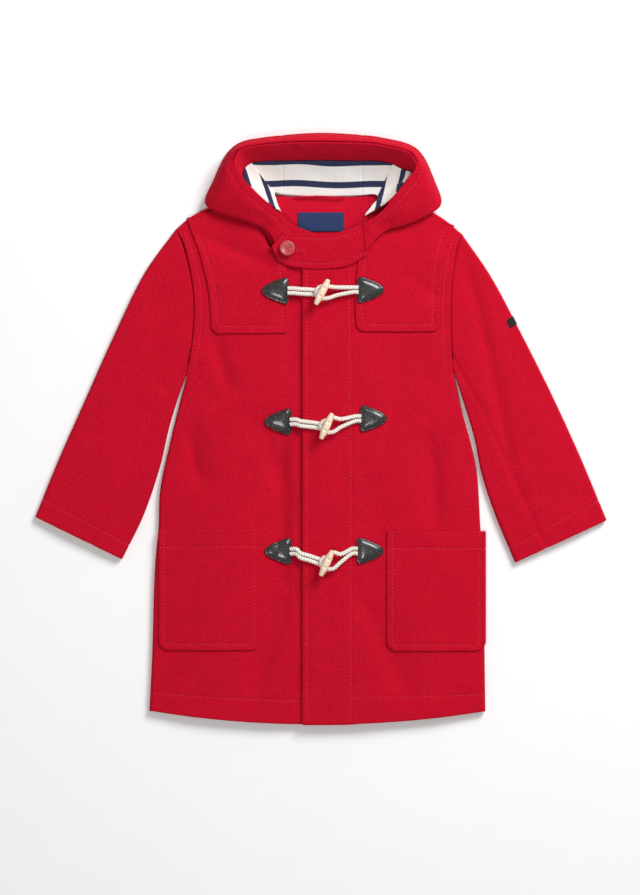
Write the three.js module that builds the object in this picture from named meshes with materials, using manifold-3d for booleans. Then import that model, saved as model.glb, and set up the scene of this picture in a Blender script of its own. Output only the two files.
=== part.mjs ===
// A child's hooded duffle coat, laid flat on its back: wool walls, leather and cord toggle fastenings.
// Millimetres. +Z up from the surface it lies on, +Y towards the hood, +X towards the wearer's left.
import * as THREE from "three";
import Module from "manifold-3d";
import { mergeVertices } from "three/addons/utils/BufferGeometryUtils.js";

const wasm = await Module();
wasm.setup();

// Driving dimensions
const WOOL = 2.2; // thickness of the melton wool
const SEAM = 0.3; // gap that stands for a seam
const JERSEY = 1.2; // hood lining
const EDGE_HEIGHT = 10; // height of the coat over its folded side
const FILL = 3.2; // how much higher the front lies away from its edges
const FILL_REACH = 60;
const SIDE_ROLL = (EDGE_HEIGHT - SEAM) / 2; // radius of the folded side and shoulder
const CENTRE = -3; // middle of the hem
const HEM_LOW = -355;
const HEM_RISE = 16; // hem curves up towards the sides
const HEM_HALF = 202;
const PLACKET_EDGE = -22; // free edge of the front that lies on top
const PLACKET_LIFT = 2.4;
const PLACKET_WALL = 3.6; // wool and its facing
const UNDER_EDGE = 37; // free edge of the front underneath
const UNDER_DIP = 1.7;
const ARMPIT_ROW = 0.62; // share of a front's rows below the armpit
const NECK_ROW = 0.8; // share of a front's rows below the neck line
const ARMPIT_Y = 70;
const SLEEVE_HEIGHT = 9.6;
const SLEEVE_FILL = 1.7;
const SLEEVE_BACK_SEAM = 0.14; // on the underside, share of the width from the outer fold
const FACING = 1.8;
const TRIM_THICK = 2; // yokes and pockets
const TRIM_GAP = 0.5; // what lies on a folded front keeps this clear of it
const CORD_RADIUS = 2;
const TOGGLE_LENGTH = 34;
const TOGGLE_RADIUS = 4.6;
const TOGGLE_HOLE = 1.2;
const BUTTON_RADIUS = 9.3;

// Colours, roughness
const WOOL_RED = [0xc2152c, 0.95];
const FACING_RED = [0xa81427, 0.95];
const CREAM = [0xe9e4da, 0.85];
const NAVY = [0x1d2a4c, 0.6];
const LEATHER = [0x1c1a1b, 0.35];
const WOOD = [0xe0bf96, 0.45];
const CORD = [0xefe8dc, 0.9];
const BUTTON_RED = [0xb23b3f, 0.4];

const coat = new THREE.Group();

const table = (columns, rows) =>
  rows.map((row) => Object.fromEntries(columns.map((name, i) => [name, row[i]])));
const mix = (a, b, t) => a + (b - a) * t;
const clamp01 = (t) => Math.min(1, Math.max(0, t));
const ease = (from, to, at) => {
  const t = clamp01((at - from) / (to - from));
  return t * t * (3 - 2 * t);
};
const steps = (from, to, count) => Array.from({ length: count + 1 }, (_, i) => mix(from, to, i / count));

// A smooth curve through one column of a table, read at its column "at"; straight beyond both ends.
function through(rows, column) {
  const at = rows.map((row) => row.at);
  const value = rows.map((row) => row[column]);
  const last = at.length - 1;
  const slope = value.map((_, i) => {
    const [a, b] = [Math.max(0, i - 1), Math.min(last, i + 1)];
    return (value[b] - value[a]) / (at[b] - at[a]);
  });
  return (t) => {
    if (t <= at[0]) return value[0] + slope[0] * (t - at[0]);
    if (t >= at[last]) return value[last] + slope[last] * (t - at[last]);
    const i = at.findIndex((knot) => knot > t) - 1;
    const h = at[i + 1] - at[i];
    const s = (t - at[i]) / h;
    const [s2, s3] = [s * s, s * s * s];
    return (
      (2 * s3 - 3 * s2 + 1) * value[i] +
      (s3 - 2 * s2 + s) * h * slope[i] +
      (3 * s2 - 2 * s3) * value[i + 1] +
      (s3 - s2) * h * slope[i + 1]
    );
  };
}

// One such curve for each column but "at".
const curves = (rows) => Object.fromEntries(
  Object.keys(rows[0]).filter((key) => key !== "at").map((key) => [key, through(rows, key)]));

const NUDGE = 1e-3;

function normalOf(surface, u, v, facing) {
  const [a, b] = [surface(u - NUDGE, v), surface(u + NUDGE, v)];
  const [c, d] = [surface(u, v - NUDGE), surface(u, v + NUDGE)];
  const along = new THREE.Vector3(b[0] - a[0], b[1] - a[1], b[2] - a[2]);
  const across = new THREE.Vector3(d[0] - c[0], d[1] - c[1], d[2] - c[2]);
  return along.cross(across).normalize().multiplyScalar(facing);
}

// The surface moved out along its normal.
const movedOut = (surface, by, facing = 1) => (u, v) => {
  const p = surface(u, v);
  const n = normalOf(surface, u, v, facing);
  return [p[0] + n.x * by, p[1] + n.y * by, p[2] + n.z * by];
};

function meshFrom(points, faces) {
  const g = new THREE.BufferGeometry();
  g.setAttribute("position", new THREE.Float32BufferAttribute(points.flat(), 3));
  g.setIndex(faces.flat());
  return g;
}

// A wall of cloth: surface(u, v) is its outer face, closed round its four edges.
function wall(surface, us, vs, thickness, facing = 1) {
  const thick = typeof thickness === "function" ? thickness : () => thickness;
  const [nu, nv] = [us.length, vs.length];
  const points = [];
  for (const depth of [0, 1])
    for (const v of vs)
      for (const u of us) {
        const p = surface(u, v);
        const n = normalOf(surface, u, v, facing).multiplyScalar(depth * thick(u, v));
        points.push([p[0] - n.x, p[1] - n.y, p[2] - n.z]);
      }
  const faces = [];
  const quad = (a, b, c, d) => faces.push(facing > 0 ? [a, b, c, a, c, d] : [a, c, b, a, d, c]);
  const at = (i, j, depth) => depth * nu * nv + j * nu + i;
  for (let j = 0; j < nv - 1; j++)
    for (let i = 0; i < nu - 1; i++) {
      quad(at(i, j, 0), at(i + 1, j, 0), at(i + 1, j + 1, 0), at(i, j + 1, 0));
      quad(at(i, j, 1), at(i, j + 1, 1), at(i + 1, j + 1, 1), at(i + 1, j, 1));
    }
  for (let i = 0; i < nu - 1; i++) {
    quad(at(i, 0, 0), at(i, 0, 1), at(i + 1, 0, 1), at(i + 1, 0, 0));
    quad(at(i, nv - 1, 0), at(i + 1, nv - 1, 0), at(i + 1, nv - 1, 1), at(i, nv - 1, 1));
  }
  for (let j = 0; j < nv - 1; j++) {
    quad(at(0, j, 0), at(0, j + 1, 0), at(0, j + 1, 1), at(0, j, 1));
    quad(at(nu - 1, j, 0), at(nu - 1, j, 1), at(nu - 1, j + 1, 1), at(nu - 1, j + 1, 0));
  }
  return meshFrom(points, faces);
}

function add(name, geometry, [color, roughness]) {
  const mesh = new THREE.Mesh(geometry, new THREE.MeshStandardMaterial({ color, roughness, metalness: 0 }));
  mesh.name = name;
  coat.add(mesh);
  return mesh;
}

// Outlines of the body, seen from above. Rows run from the hem to the armpit, then round the armhole.
const RIGHT_SIDE = table(["at", "x", "y"], [
  [0, -207, -339], [0.12, -203.5, -268], [0.26, -200.5, -170], [0.34, -196, -119],
  [0.41, -194, -74], [0.51, -180.5, -11], [0.57, -171, 28], [0.62, -160.5, 68],
]);
const LEFT_SIDE = table(["at", "x", "y"], [
  [0, 197, -340], [0.12, 196, -268], [0.26, 195, -170], [0.34, 191, -119],
  [0.41, 187.5, -60], [0.49, 180, -20], [0.56, 168.5, 22], [0.62, 157.5, 71],
]);
const RIGHT_ARMHOLE = table(["at", "x", "y"], [
  [0, -160.5, 68], [0.1, -157, 85], [0.27, -153, 112], [0.44, -151.5, 142],
  [0.6, -153, 169], [0.76, -158, 197], [0.91, -167, 224], [1, -173.5, 240],
]);
const LEFT_ARMHOLE = table(["at", "x", "y"], [
  [0, 157.5, 71], [0.1, 155.8, 87], [0.27, 154.5, 112], [0.44, 154, 142],
  [0.6, 155, 169], [0.76, 158, 195], [0.91, 163, 219], [1, 167.5, 234],
]);
// Neck lines, from the free edge of the front to the neck point.
const RIGHT_NECK = table(["at", "x", "y"], [
  [0, 37, 192.5], [0.16, 3, 191.5], [0.3, -24, 193], [0.42, -43, 196], [0.5, -54, 202],
  [0.6, -62, 214], [0.72, -69, 230], [0.85, -76, 252], [0.93, -79.5, 268], [1, -80, 283],
]);
const LEFT_NECK = table(["at", "x", "y"], [
  [0, -22, 193], [0.2, 3, 192], [0.38, 32, 196], [0.5, 48, 206], [0.6, 58, 218],
  [0.74, 68, 234], [0.86, 75, 252], [0.94, 77.5, 268], [1, 78, 282],
]);
// Height of the shoulder seam over the width of each shoulder.
const RIGHT_SHOULDER = table(["at", "y"], [
  [-173.5, 240], [-160, 252], [-141, 262.5], [-110, 274], [-80, 283],
]);
const LEFT_SHOULDER = table(["at", "y"], [[78, 282], [108, 271], [136, 258], [154, 246], [167.5, 234]]);

const outline = (side, armhole, neck, freeEdge, shoulder) => ({
  sideX: through(side, "x"), sideY: through(side, "y"),
  armX: through(armhole, "x"), armY: through(armhole, "y"),
  neckX: through(neck, "x"), neckY: through(neck, "y"),
  shoulderY: through(shoulder, "y"),
  sideByY: through(side.map((row) => ({ at: row.y, x: row.x })), "x"),
  freeEdge,
  out: Math.sign(side[0].x),
  tipLean: (SIDE_ROLL * (armhole.at(-1).x - armhole.at(-2).x)) / (armhole.at(-1).y - armhole.at(-2).y),
});
const RIGHT = outline(RIGHT_SIDE, RIGHT_ARMHOLE, RIGHT_NECK, UNDER_EDGE, RIGHT_SHOULDER);
const LEFT = outline(LEFT_SIDE, LEFT_ARMHOLE, LEFT_NECK, PLACKET_EDGE, LEFT_SHOULDER);

const hemY = (x) => HEM_LOW + HEM_RISE * ((x - CENTRE) / HEM_HALF) ** 2;
const sideOf = (x) => (x < CENTRE ? RIGHT : LEFT);

// Soft folds of the fronts: from one end to the other, half width, height (troughs below zero).
const FRONT_FOLDS = table(["x1", "y1", "x2", "y2", "half", "rise"], [
  [-52, 10, -56, -180, 22, -1.9],
  [-50, -180, -86, -325, 24, -2.3],
  [-88, 18, -52, -60, 20, -1.2],
  [-130, 110, -108, 40, 19, -1.7],
  [-160, -5, -142, -75, 20, -2.2],
  [-118, -40, -126, -290, 30, 1.1],
  [-138, 234, -64, 196, 20, -1.5],
  [130, -10, 136, -124, 19, -3],
  [62, -190, 104, -318, 22, -1.6],
  [88, 70, 84, -120, 30, 0.9],
  [98, 190, 140, 158, 18, -0.9],
  [150, -190, 158, -330, 24, -0.8],
]);
const SLEEVE_FOLDS = table(["x1", "y1", "x2", "y2", "half", "rise"], [
  [174, 196, 206, 40, 15, -2],
  [206, 40, 240, -52, 17, -1.8],
  [252, 60, 300, -60, 20, 0.8],
  [-196, 120, -232, 40, 18, -0.8],
  [-250, 40, -292, -60, 20, 0.7],
  [-215, -20, -250, -95, 15, -0.9],
]);

// Sum of the folds at a point: each is a soft trough that fades at both ends.
function foldsAt(folds, x, y) {
  let z = 0;
  for (const f of folds) {
    const [dx, dy] = [f.x2 - f.x1, f.y2 - f.y1];
    const along = ((x - f.x1) * dx + (y - f.y1) * dy) / (dx * dx + dy * dy);
    const near = clamp01(along);
    const off = Math.hypot(x - f.x1 - near * dx, y - f.y1 - near * dy) / f.half;
    const beyond = Math.min(along, 1 - along);
    z += f.rise * Math.exp(-off * off) * ease(-0.3, 0.3, beyond);
  }
  return z;
}

// Height of the fronts' outer face, without the turn over the side and shoulder.
function frontHeight(x, y) {
  const side = sideOf(x);
  const pastArmpit = 60 * ease(ARMPIT_Y - 20, ARMPIT_Y + 40, y);
  const toSide = Math.abs(side.sideByY(Math.min(y, ARMPIT_Y)) - x) + pastArmpit;
  const toShoulder = side.shoulderY(x) - y;
  const fill = FILL * ease(0, FILL_REACH, Math.min(toSide, toShoulder));
  const calm = ease(5, 34, toSide) * ease(5, 34, toShoulder);
  const offPlacket = Math.max(PLACKET_EDGE - x, x - UNDER_EDGE);
  return EDGE_HEIGHT + fill + foldsAt(FRONT_FOLDS, x, y) * calm * ease(6, 26, offPlacket);
}
const underHeight = (x, y) => frontHeight(x, y) - UNDER_DIP * ease(PLACKET_EDGE - 34, PLACKET_EDGE - 9, x);
const overHeight = (x, y) => {
  const past = ease(UNDER_EDGE + 2, UNDER_EDGE + 54, x);
  return frontHeight(x, y) + PLACKET_LIFT * (1 - past);
};
const topOf = (side) => (side === RIGHT ? underHeight : overHeight);

// Drop of a face that turns down over a folded edge, at this distance inside the edge.
const turnDrop = (inside) =>
  inside >= SIDE_ROLL ? 0 : SIDE_ROLL - Math.sqrt(Math.max(0, SIDE_ROLL ** 2 - (SIDE_ROLL - inside) ** 2));

// A front: u is 0 at the free edge, 1 where the side turns down and 2 at the side seam;
// v is 0 at the hem, 1 where the shoulder turns down and 2 at the shoulder seam.
function frontSurface(side) {
  const top = topOf(side);
  return (u, v) => {
    const row = Math.min(v, 1);
    const arm = (row - ARMPIT_ROW) / (1 - ARMPIT_ROW);
    const outerX = arm < 0 ? side.sideX(row) : side.armX(arm);
    const outerY = arm < 0 ? side.sideY(row) : side.armY(arm);
    const onSide = 1 - ease(ARMPIT_ROW - 0.035, ARMPIT_ROW + 0.01, row);
    const neck = (row - NECK_ROW) / (1 - NECK_ROW);
    const innerX = neck < 0 ? side.freeEdge : side.neckX(neck);
    const neckStart = side.neckY(0);
    const bottom = hemY(side.freeEdge);
    const innerY = neck < 0 ? mix(bottom, neckStart, row / NECK_ROW) : side.neckY(neck);
    const flat = Math.min(u, 1);
    const turnU = Math.max(0, u - 1);
    const turnV = Math.max(0, v - 1);
    const edgeX = outerX - side.out * SIDE_ROLL;
    let x = mix(innerX, edgeX, flat);
    let y = mix(innerY, outerY, flat);
    x -= side.tipLean * flat * ease(0.9, 1, row);
    const seamX = mix(innerX, edgeX, flat) + side.out * SIDE_ROLL * turnU;
    const bow = side.shoulderY(seamX) - mix(side.neckY(1), side.armY(1), flat);
    y += (bow - SIDE_ROLL) * ease(0.9, 1, row);
    if (u < 0) x = innerX + (edgeX - innerX) * u;
    const angleU = (turnU * Math.PI) / 2;
    const angleV = (turnV * Math.PI) / 2;
    y += (hemY(x) - mix(bottom, side.sideY(0), flat)) * (1 - ease(0, 0.2, row));
    const z = top(x, y);
    x += side.out * SIDE_ROLL * (onSide * Math.sin(angleU) + (1 - onSide) * turnU);
    x += side.tipLean * flat * Math.sin(angleV);
    y += SIDE_ROLL * Math.sin(angleV);
    return [x, y, z - SIDE_ROLL * (onSide * (1 - Math.cos(angleU)) + (1 - Math.cos(angleV)))];
  };
}

const FRONT_ROWS = [
  ...steps(0, ARMPIT_ROW, 12), ...steps(ARMPIT_ROW, NECK_ROW, 3).slice(1),
  ...steps(NECK_ROW, 1, 7).slice(1), 1.4, 1.75, 2,
];
const TURN_COLUMNS = [1.35, 1.7, 2];
const UNDER_COLUMNS = [0, 0.14, 0.27, 0.33, 0.38, ...steps(0.45, 1, 8), ...TURN_COLUMNS];
const OVER_COLUMNS = [0, 0.14, 0.274, 0.3, 0.36, 0.42, ...steps(0.49, 1, 7), ...TURN_COLUMNS];

add("front_right", wall(frontSurface(RIGHT), UNDER_COLUMNS, FRONT_ROWS, WOOL, -1), WOOL_RED);
const overSurface = frontSurface(LEFT);
const pastPlacket = (u, v) => ease(UNDER_EDGE + 1, UNDER_EDGE + 5, overSurface(u, v)[0]);
const placketWall = (u, v) => mix(PLACKET_WALL, WOOL, pastPlacket(u, v));
add("front_left", wall(overSurface, OVER_COLUMNS, FRONT_ROWS, placketWall, 1), WOOL_RED);

// The back lies flat: u runs from side seam to side seam over its turned-up edges, v from hem to shoulder.
const BACK_NECK = table(["at", "y"], [[-80, 283], [-1, 275], [78, 282]]);
const backNeckY = through(BACK_NECK, "y");
function backTop(x) {
  if (x < BACK_NECK[0].at) return RIGHT.shoulderY(x);
  return x > BACK_NECK.at(-1).at ? LEFT.shoulderY(x) : backNeckY(x);
}
function backSurface(u, v) {
  const row = Math.min(v, 1);
  const arm = (row - ARMPIT_ROW) / (1 - ARMPIT_ROW);
  const edge = (side) => (arm < 0 ? [side.sideX(row), side.sideY(row)] : [side.armX(arm), side.armY(arm)]);
  const [right, left] = [edge(RIGHT), edge(LEFT)];
  const onSide = 1 - ease(ARMPIT_ROW - 0.035, ARMPIT_ROW + 0.01, row);
  const flat = clamp01(u);
  const turnU = Math.max(0, -u, u - 1);
  const turnV = Math.max(0, v - 1);
  const lean = mix(RIGHT.tipLean, LEFT.tipLean, flat) * Math.abs(2 * flat - 1);
  let x = mix(right[0] + SIDE_ROLL, left[0] - SIDE_ROLL, flat) - lean * ease(0.9, 1, row);
  let y = mix(right[1], left[1], flat) - SIDE_ROLL * ease(0.9, 1, row);
  const crown = ease(0.7, 1, row);
  const shoulder = backTop(mix(right[0], left[0], flat));
  y = mix(y, mix(ARMPIT_Y, shoulder - SIDE_ROLL, clamp01(arm)), crown);
  y += (hemY(x) - mix(RIGHT.sideY(0), LEFT.sideY(0), flat)) * (1 - ease(0, 0.2, row));
  const angleU = (turnU * Math.PI) / 2;
  const atNeck = ease(80, 74, Math.abs(x + 1));
  x += (u < 0.5 ? -1 : 1) * SIDE_ROLL * (onSide * Math.sin(angleU) + (1 - onSide) * turnU);
  const angleV = (turnV * Math.PI) / 2;
  x += lean * Math.sin(angleV);
  y += SIDE_ROLL * mix(Math.sin(angleV), turnV, atNeck);
  const lift = onSide * (1 - Math.cos(angleU)) + (1 - Math.cos(angleV)) * (1 - atNeck);
  return [x, y, SIDE_ROLL * lift];
}
const BACK_COLUMNS = [-1, -0.7, -0.35, 0, 0.09, 0.18, 0.26, 0.285, ...steps(0.37, 0.65, 3), 0.72, 0.745,
  0.83, 0.92, 1, 1.35, 1.7, 2];
const BACK_ROWS = [...steps(0, 0.54, 4), 0.59, ...steps(ARMPIT_ROW, 1, 7), 1.4, 1.75, 2];
add("back", wall(backSurface, BACK_COLUMNS, BACK_ROWS, WOOL, -1), WOOL_RED);

// Sleeves, seen from above: outer fold, inner fold and the seam's share of the width, from armhole to cuff.
const RIGHT_SLEEVE = table(["at", "outX", "outY", "inX", "inY", "seam"], [
  [0, -174.7, 239.5, -161.5, 66.5, 0.93], [0.2, -214, 184, -173, 34, 0.89],
  [0.4, -250, 110, -183.5, -1, 0.825], [0.6, -284, 34, -194.5, -48, 0.745],
  [0.8, -316, -38, -214, -105, 0.685], [1, -343.8, -106, -239.4, -157, 0.65],
]);
const LEFT_SLEEVE = table(["at", "outX", "outY", "inX", "inY", "seam"], [
  [0, 168.7, 233.5, 158.5, 69.5, 0.92], [0.2, 205, 180, 170.5, 32, 0.87], [0.4, 241, 112, 183.5, -11, 0.8],
  [0.6, 276, 42, 192.5, -55, 0.74], [0.8, 310, -32, 208.5, -104, 0.7], [1, 342.6, -110, 232.2, -161, 0.675],
]);
const SLEEVE_ROLL = SLEEVE_HEIGHT / 2;
const ARMHOLE_GAP = 0.55;
const ARMHOLE_REACH = 0.45; // share of the sleeve over which the armhole's curve dies away

// A sleeve: p is 0 to 1 over the top from outer to inner fold, 1 to 2 round the inner fold,
// 2 to 3 back along the underside and 3 to 4 round the outer fold; t is 0 at the armhole and 1 at the cuff.
function sleeveSurface(rows, side) {
  const [outX, outY, inX, inY] = ["outX", "outY", "inX", "inY"].map((name) => through(rows, name));
  const chord = (s) => [mix(side.armX(1), side.armX(0), s), mix(side.armY(1), side.armY(0), s)];
  return (p, t) => {
    const turn = (p + 4) % 4;
    const [ox, oy, ix, iy] = [outX(t), outY(t), inX(t), inY(t)];
    const rollShare = SLEEVE_ROLL / Math.hypot(ox - ix, oy - iy);
    let s, z;
    if (turn < 1) s = mix(rollShare, 1 - rollShare, turn);
    else if (turn < 2) s = 1 - rollShare * (1 - Math.sin((turn - 1) * Math.PI));
    else if (turn < 3) s = mix(1 - rollShare, rollShare, turn - 2);
    else s = rollShare * (1 - Math.sin((turn - 3) * Math.PI));
    const fade = Math.max(0, 1 - t / ARMHOLE_REACH) ** 2;
    const [cx, cy] = chord(s);
    const x = mix(ox, ix, s) + (side.armX(1 - s) - cx) * fade + side.out * ARMHOLE_GAP * (t < 0.01 ? 1 : 0);
    const y = mix(oy, iy, s) + (side.armY(1 - s) - cy) * fade;
    if (turn < 1) {
      const inside = Math.min(turn, 1 - turn);
      z = SLEEVE_HEIGHT + SLEEVE_FILL * ease(0, 0.32, inside);
      z += foldsAt(SLEEVE_FOLDS, x, y) * ease(0, 0.15, inside);
    } else if (turn < 2) z = SLEEVE_ROLL * (1 + Math.cos((turn - 1) * Math.PI));
    else if (turn < 3) z = 0;
    else z = SLEEVE_ROLL * (1 - Math.cos((turn - 3) * Math.PI));
    return [x, y, z];
  };
}

// A stretch of a sleeve between two seams: each row starts and ends where its seams lie.
function sleevePiece(rows, side, from, to) {
  const surface = sleeveSurface(rows, side);
  return (u, t) => surface(mix(from(t), to(t), u), t);
}
const SLEEVE_ROWS = [0, 0.04, ...steps(0.1, 1, 8)];
const BACK_SEAM = 3 - SLEEVE_BACK_SEAM;
for (const [name, rows, side] of [["right", RIGHT_SLEEVE, RIGHT], ["left", LEFT_SLEEVE, LEFT]]) {
  const seam = through(rows, "seam");
  const width = (t) => Math.hypot(through(rows, "outX")(t) - through(rows, "inX")(t),
    through(rows, "outY")(t) - through(rows, "inY")(t));
  const half = (t) => SEAM / 2 / width(t);
  const facing = side === RIGHT ? 1 : -1;
  const upper = sleevePiece(rows, side, (t) => BACK_SEAM + half(t) - 4, (t) => seam(t) - half(t));
  const under = sleevePiece(rows, side, (t) => seam(t) + half(t), (t) => BACK_SEAM - half(t));
  const upperStart = 1 + SLEEVE_BACK_SEAM;
  const upperSpan = (p) => (p + upperStart) / (upperStart + 0.8);
  const upperColumns = [0, ...steps(-1, 0, 5).map(upperSpan), ...steps(0.11, 0.8, 8).map(upperSpan)];
  const underColumns = [0, 0.07, ...steps(0.125, 0.61, 6), ...steps(0.74, 1, 2)];
  add("sleeve_upper_" + name, wall(upper, upperColumns, SLEEVE_ROWS, WOOL, -facing), WOOL_RED);
  add("sleeve_under_" + name, wall(under, underColumns, SLEEVE_ROWS, WOOL, -facing), WOOL_RED);
}

// What lies on the fronts: a plate over a patch of plan, moved out from the cloth that carries it.
function plate(name, plan, carrier, columns, rows, finish, thickness = TRIM_THICK, gap = TRIM_GAP) {
  const onCloth = (s, t) => {
    const [x, y] = plan(s, t);
    return [x, y, carrier(x, y)];
  };
  const probe = normalOf(onCloth, 0.5, 0.5, 1);
  const facing = probe.z > 0 ? 1 : -1;
  const top = movedOut(onCloth, gap + thickness, facing);
  return add(name, wall(top, columns, rows, thickness, facing), finish);
}
// How far a rounded corner of this radius has come in, at a height above its end.
const cornerIn = (radius, height) =>
  height >= radius ? 0 : radius - Math.sqrt(Math.max(0, radius ** 2 - (radius - Math.max(0, height)) ** 2));

// Patch pockets: sizes of their plan, fall of the top edge, and how far the open top gapes.
const GAPE_HALF = 22;
const POCKETS = table(["at", "x1", "x2", "top", "bottom", "slope", "gapeAt", "gape"], [
  ["right", -194.5, -74, -122.5, -266, 1.5, -140, 0.6], ["left", 79, 196.5, -124.5, -267, 0, 134, 2.4],
]);
const POCKET_CORNER = 11;
const CORNER_ROWS = [0, 0.008, 0.03, 0.065];
for (const k of POCKETS) {
  const plan = (s, t) => {
    const y = mix(k.bottom, k.top, t);
    const inset = cornerIn(POCKET_CORNER, y - k.bottom);
    return [mix(k.x1 + inset, k.x2 - inset, s), y + k.slope * t * (s - 0.5)];
  };
  const carrier = (x, y) => topOf(sideOf(x))(x, y)
    + k.gape * Math.exp(-(((x - k.gapeAt) / GAPE_HALF) ** 2)) * ease(k.top - 28, k.top, y);
  plate("pocket_" + k.at, plan, carrier, steps(0, 1, 8), [...CORNER_ROWS, ...steps(0.14, 1, 9)], WOOL_RED);
}

// Yokes: inner edge, outer edge along the armhole, bottom edge with round corners, top in the shoulder seam.
const YOKES = [
  { at: "right", side: RIGHT, top: underHeight, bottom: 114,
    inner: table(["at", "x"], [[114, -38], [150, -39.5], [200, -42.5]]),
    outer: table(["at", "x"], [[114, -131], [160, -134], [200, -143], [228, -154], [250, -161]]) },
  { at: "left", side: LEFT, top: overHeight, bottom: 116,
    inner: table(["at", "x"], [[116, 42.5], [160, 41], [200, 44.5]]),
    outer: table(["at", "x"], [[116, 141], [160, 142], [192, 144], [216, 149], [240, 155]]) },
];
const YOKE_CORNER = 9;
const YOKE_STRAIGHT = 84; // height of a yoke below the neck line
const YOKE_NECK_GAP = 4;
for (const yoke of YOKES) {
  const [inner, outer] = [through(yoke.inner, "x"), through(yoke.outer, "x")];
  const neck = { x: yoke.side.neckX, y: yoke.side.neckY };
  const plan = (s, t) => {
    const y = yoke.bottom + YOKE_STRAIGHT * Math.min(t, 1);
    const inset = yoke.side.out * cornerIn(YOKE_CORNER, y - yoke.bottom);
    const above = clamp01(t - 1);
    const along = mix(0.5, 0.985, above);
    const [nx, ny] = [neck.x(along) + yoke.side.out * YOKE_NECK_GAP, neck.y(along)];
    const neckFrom = yoke.bottom + YOKE_STRAIGHT;
    const shoulderX = outer(neckFrom + 50 * above);
    const shoulderY = mix(neckFrom, yoke.side.shoulderY(shoulderX) - 2.5, above);
    const innerPoint = t <= 1 ? [inner(y) + inset, y] : [mix(inner(neckFrom), nx, ease(0, 0.35, above)), ny];
    const outerPoint = t <= 1 ? [outer(y) - inset, y] : [shoulderX, shoulderY];
    const x = mix(innerPoint[0], outerPoint[0], s);
    const straight = mix(innerPoint[1], outerPoint[1], s);
    return [x, Math.min(straight, yoke.side.shoulderY(x) - 2)];
  };
  const carrier = (x, y) => yoke.top(x, y) - turnDrop(yoke.side.shoulderY(x) - y);
  plate("yoke_" + yoke.at, plan, carrier, steps(0, 1, 8),
    [0, 0.02, 0.11, ...steps(0.25, 1, 4), ...steps(1.16, 2, 5)], WOOL_RED);
}

// Hood: stations round its face opening, from the wearer's right end at the neck over the top
// to the left end.
// The rim is the edge of the opening; the wool falls from it to a fold, which lies at a height and tucks in.
const HOOD = table(["at", "rimX", "rimY", "rimZ", "foldX", "foldY", "lie", "roll", "tuck"], [
  [0, -4, 231, 18.6, -8, 200, 11.8, 2.8, 4],
  [1, -34, 242, 21, -48, 212, 12.4, 2.9, 5],
  [2, -50, 255, 26, -66, 236, 14.6, 3.9, 8],
  [3, -70, 271, 33, -96, 249, 16, 4.6, 14],
  [4, -87, 286, 37, -125, 258, 15.4, 4.8, 16],
  [5, -97, 299, 40, -140, 271, 8.5, 4.8, 14],
  [6, -106, 317, 42, -130, 298, 0, 4.8, 6],
  [7, -101, 331, 43, -115, 329, 0, 4.8, 1],
  [8, -88, 336, 44, -97, 344, 0, 4.8, 1],
  [9, -69, 339, 45, -71, 349.5, 0, 4.8, 1],
  [10, -48, 341, 45, -49, 352, 0, 4.8, 1],
  [11, -20, 342, 46, -20, 354.5, 0, 4.8, 1],
  [12, 10, 342, 46, 10, 355, 0, 4.8, 1],
  [13, 49, 341, 45, 49, 352.5, 0, 4.8, 1],
  [14, 69, 339, 45, 70, 350, 0, 4.8, 1],
  [15, 96, 333, 44, 104, 342, 0, 4.8, 1],
  [16, 110, 326, 43, 122, 328, 0, 4.8, 1],
  [17, 115, 312, 42, 136, 298, 0, 4.8, 6],
  [18, 107, 299, 40, 144, 271, 8.5, 4.8, 14],
  [19, 101, 290, 38, 132, 257, 15.4, 4.8, 16],
  [20, 88, 275, 35, 104, 243.5, 16.4, 4.6, 14],
  [21, 69, 255, 29, 76, 234.5, 16.4, 4.2, 8],
  [22, 49, 243, 25, 53, 212, 18.2, 3.2, 5],
]);
const HOOD_SEAM_RIGHT = 10;
const HOOD_SEAM_LEFT = 13;
const HOOD_BULGE = 0.34; // rise of the wool between rim and fold above a straight line, as a share
const hoodAt = curves(HOOD);

// A point of the hood's wool: a is the station, v runs from the tucked edge round the fold up to the rim.
function hoodWool(a, v) {
  const [rimX, rimY, rimZ] = [hoodAt.rimX(a), hoodAt.rimY(a), hoodAt.rimZ(a)];
  const foldKeys = ["foldX", "foldY", "lie", "roll", "tuck"];
  const [foldX, foldY, lie, roll, tuck] = foldKeys.map((key) => hoodAt[key](a));
  const reach = Math.hypot(rimX - foldX, rimY - foldY);
  const [wx, wy] = [(rimX - foldX) / reach, (rimY - foldY) / reach];
  const low = Math.max(0, lie);
  let inward, z;
  if (v < 1) [inward, z] = [roll + tuck * (1 - v), low];
  else if (v < 2) {
    const angle = (v - 1) * Math.PI * 0.8;
    [inward, z] = [roll * (1 - Math.sin(angle)), low + roll * (1 - Math.cos(angle))];
  } else {
    const angle = Math.PI * 0.8;
    const [i0, z0] = [roll * (1 - Math.sin(angle)), low + roll * (1 - Math.cos(angle))];
    const s = v - 2;
    const rise = rimZ - z0;
    inward = mix(i0, reach, s);
    z = mix(z0, rimZ, s) + HOOD_BULGE * rise * Math.sin(Math.PI * s) * (1 - 0.35 * s);
  }
  return [foldX + wx * inward, foldY + wy * inward, z];
}
const HOOD_ROWS = [0, 1, 1.33, 1.67, 2, 2.2, 2.45, 2.75, 3];
const stations = (from, to, count) => steps(from + 0.006, to - 0.006, count);
add("hood_side_right", wall(hoodWool, stations(0, HOOD_SEAM_RIGHT, 17), HOOD_ROWS, WOOL, -1), WOOL_RED);
const centreStations = stations(HOOD_SEAM_RIGHT, HOOD_SEAM_LEFT, 4);
add("hood_center", wall(hoodWool, centreStations, HOOD_ROWS, WOOL, -1), WOOL_RED);
add("hood_side_left", wall(hoodWool, stations(HOOD_SEAM_LEFT, 22, 16), HOOD_ROWS, WOOL, -1), WOOL_RED);

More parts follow.
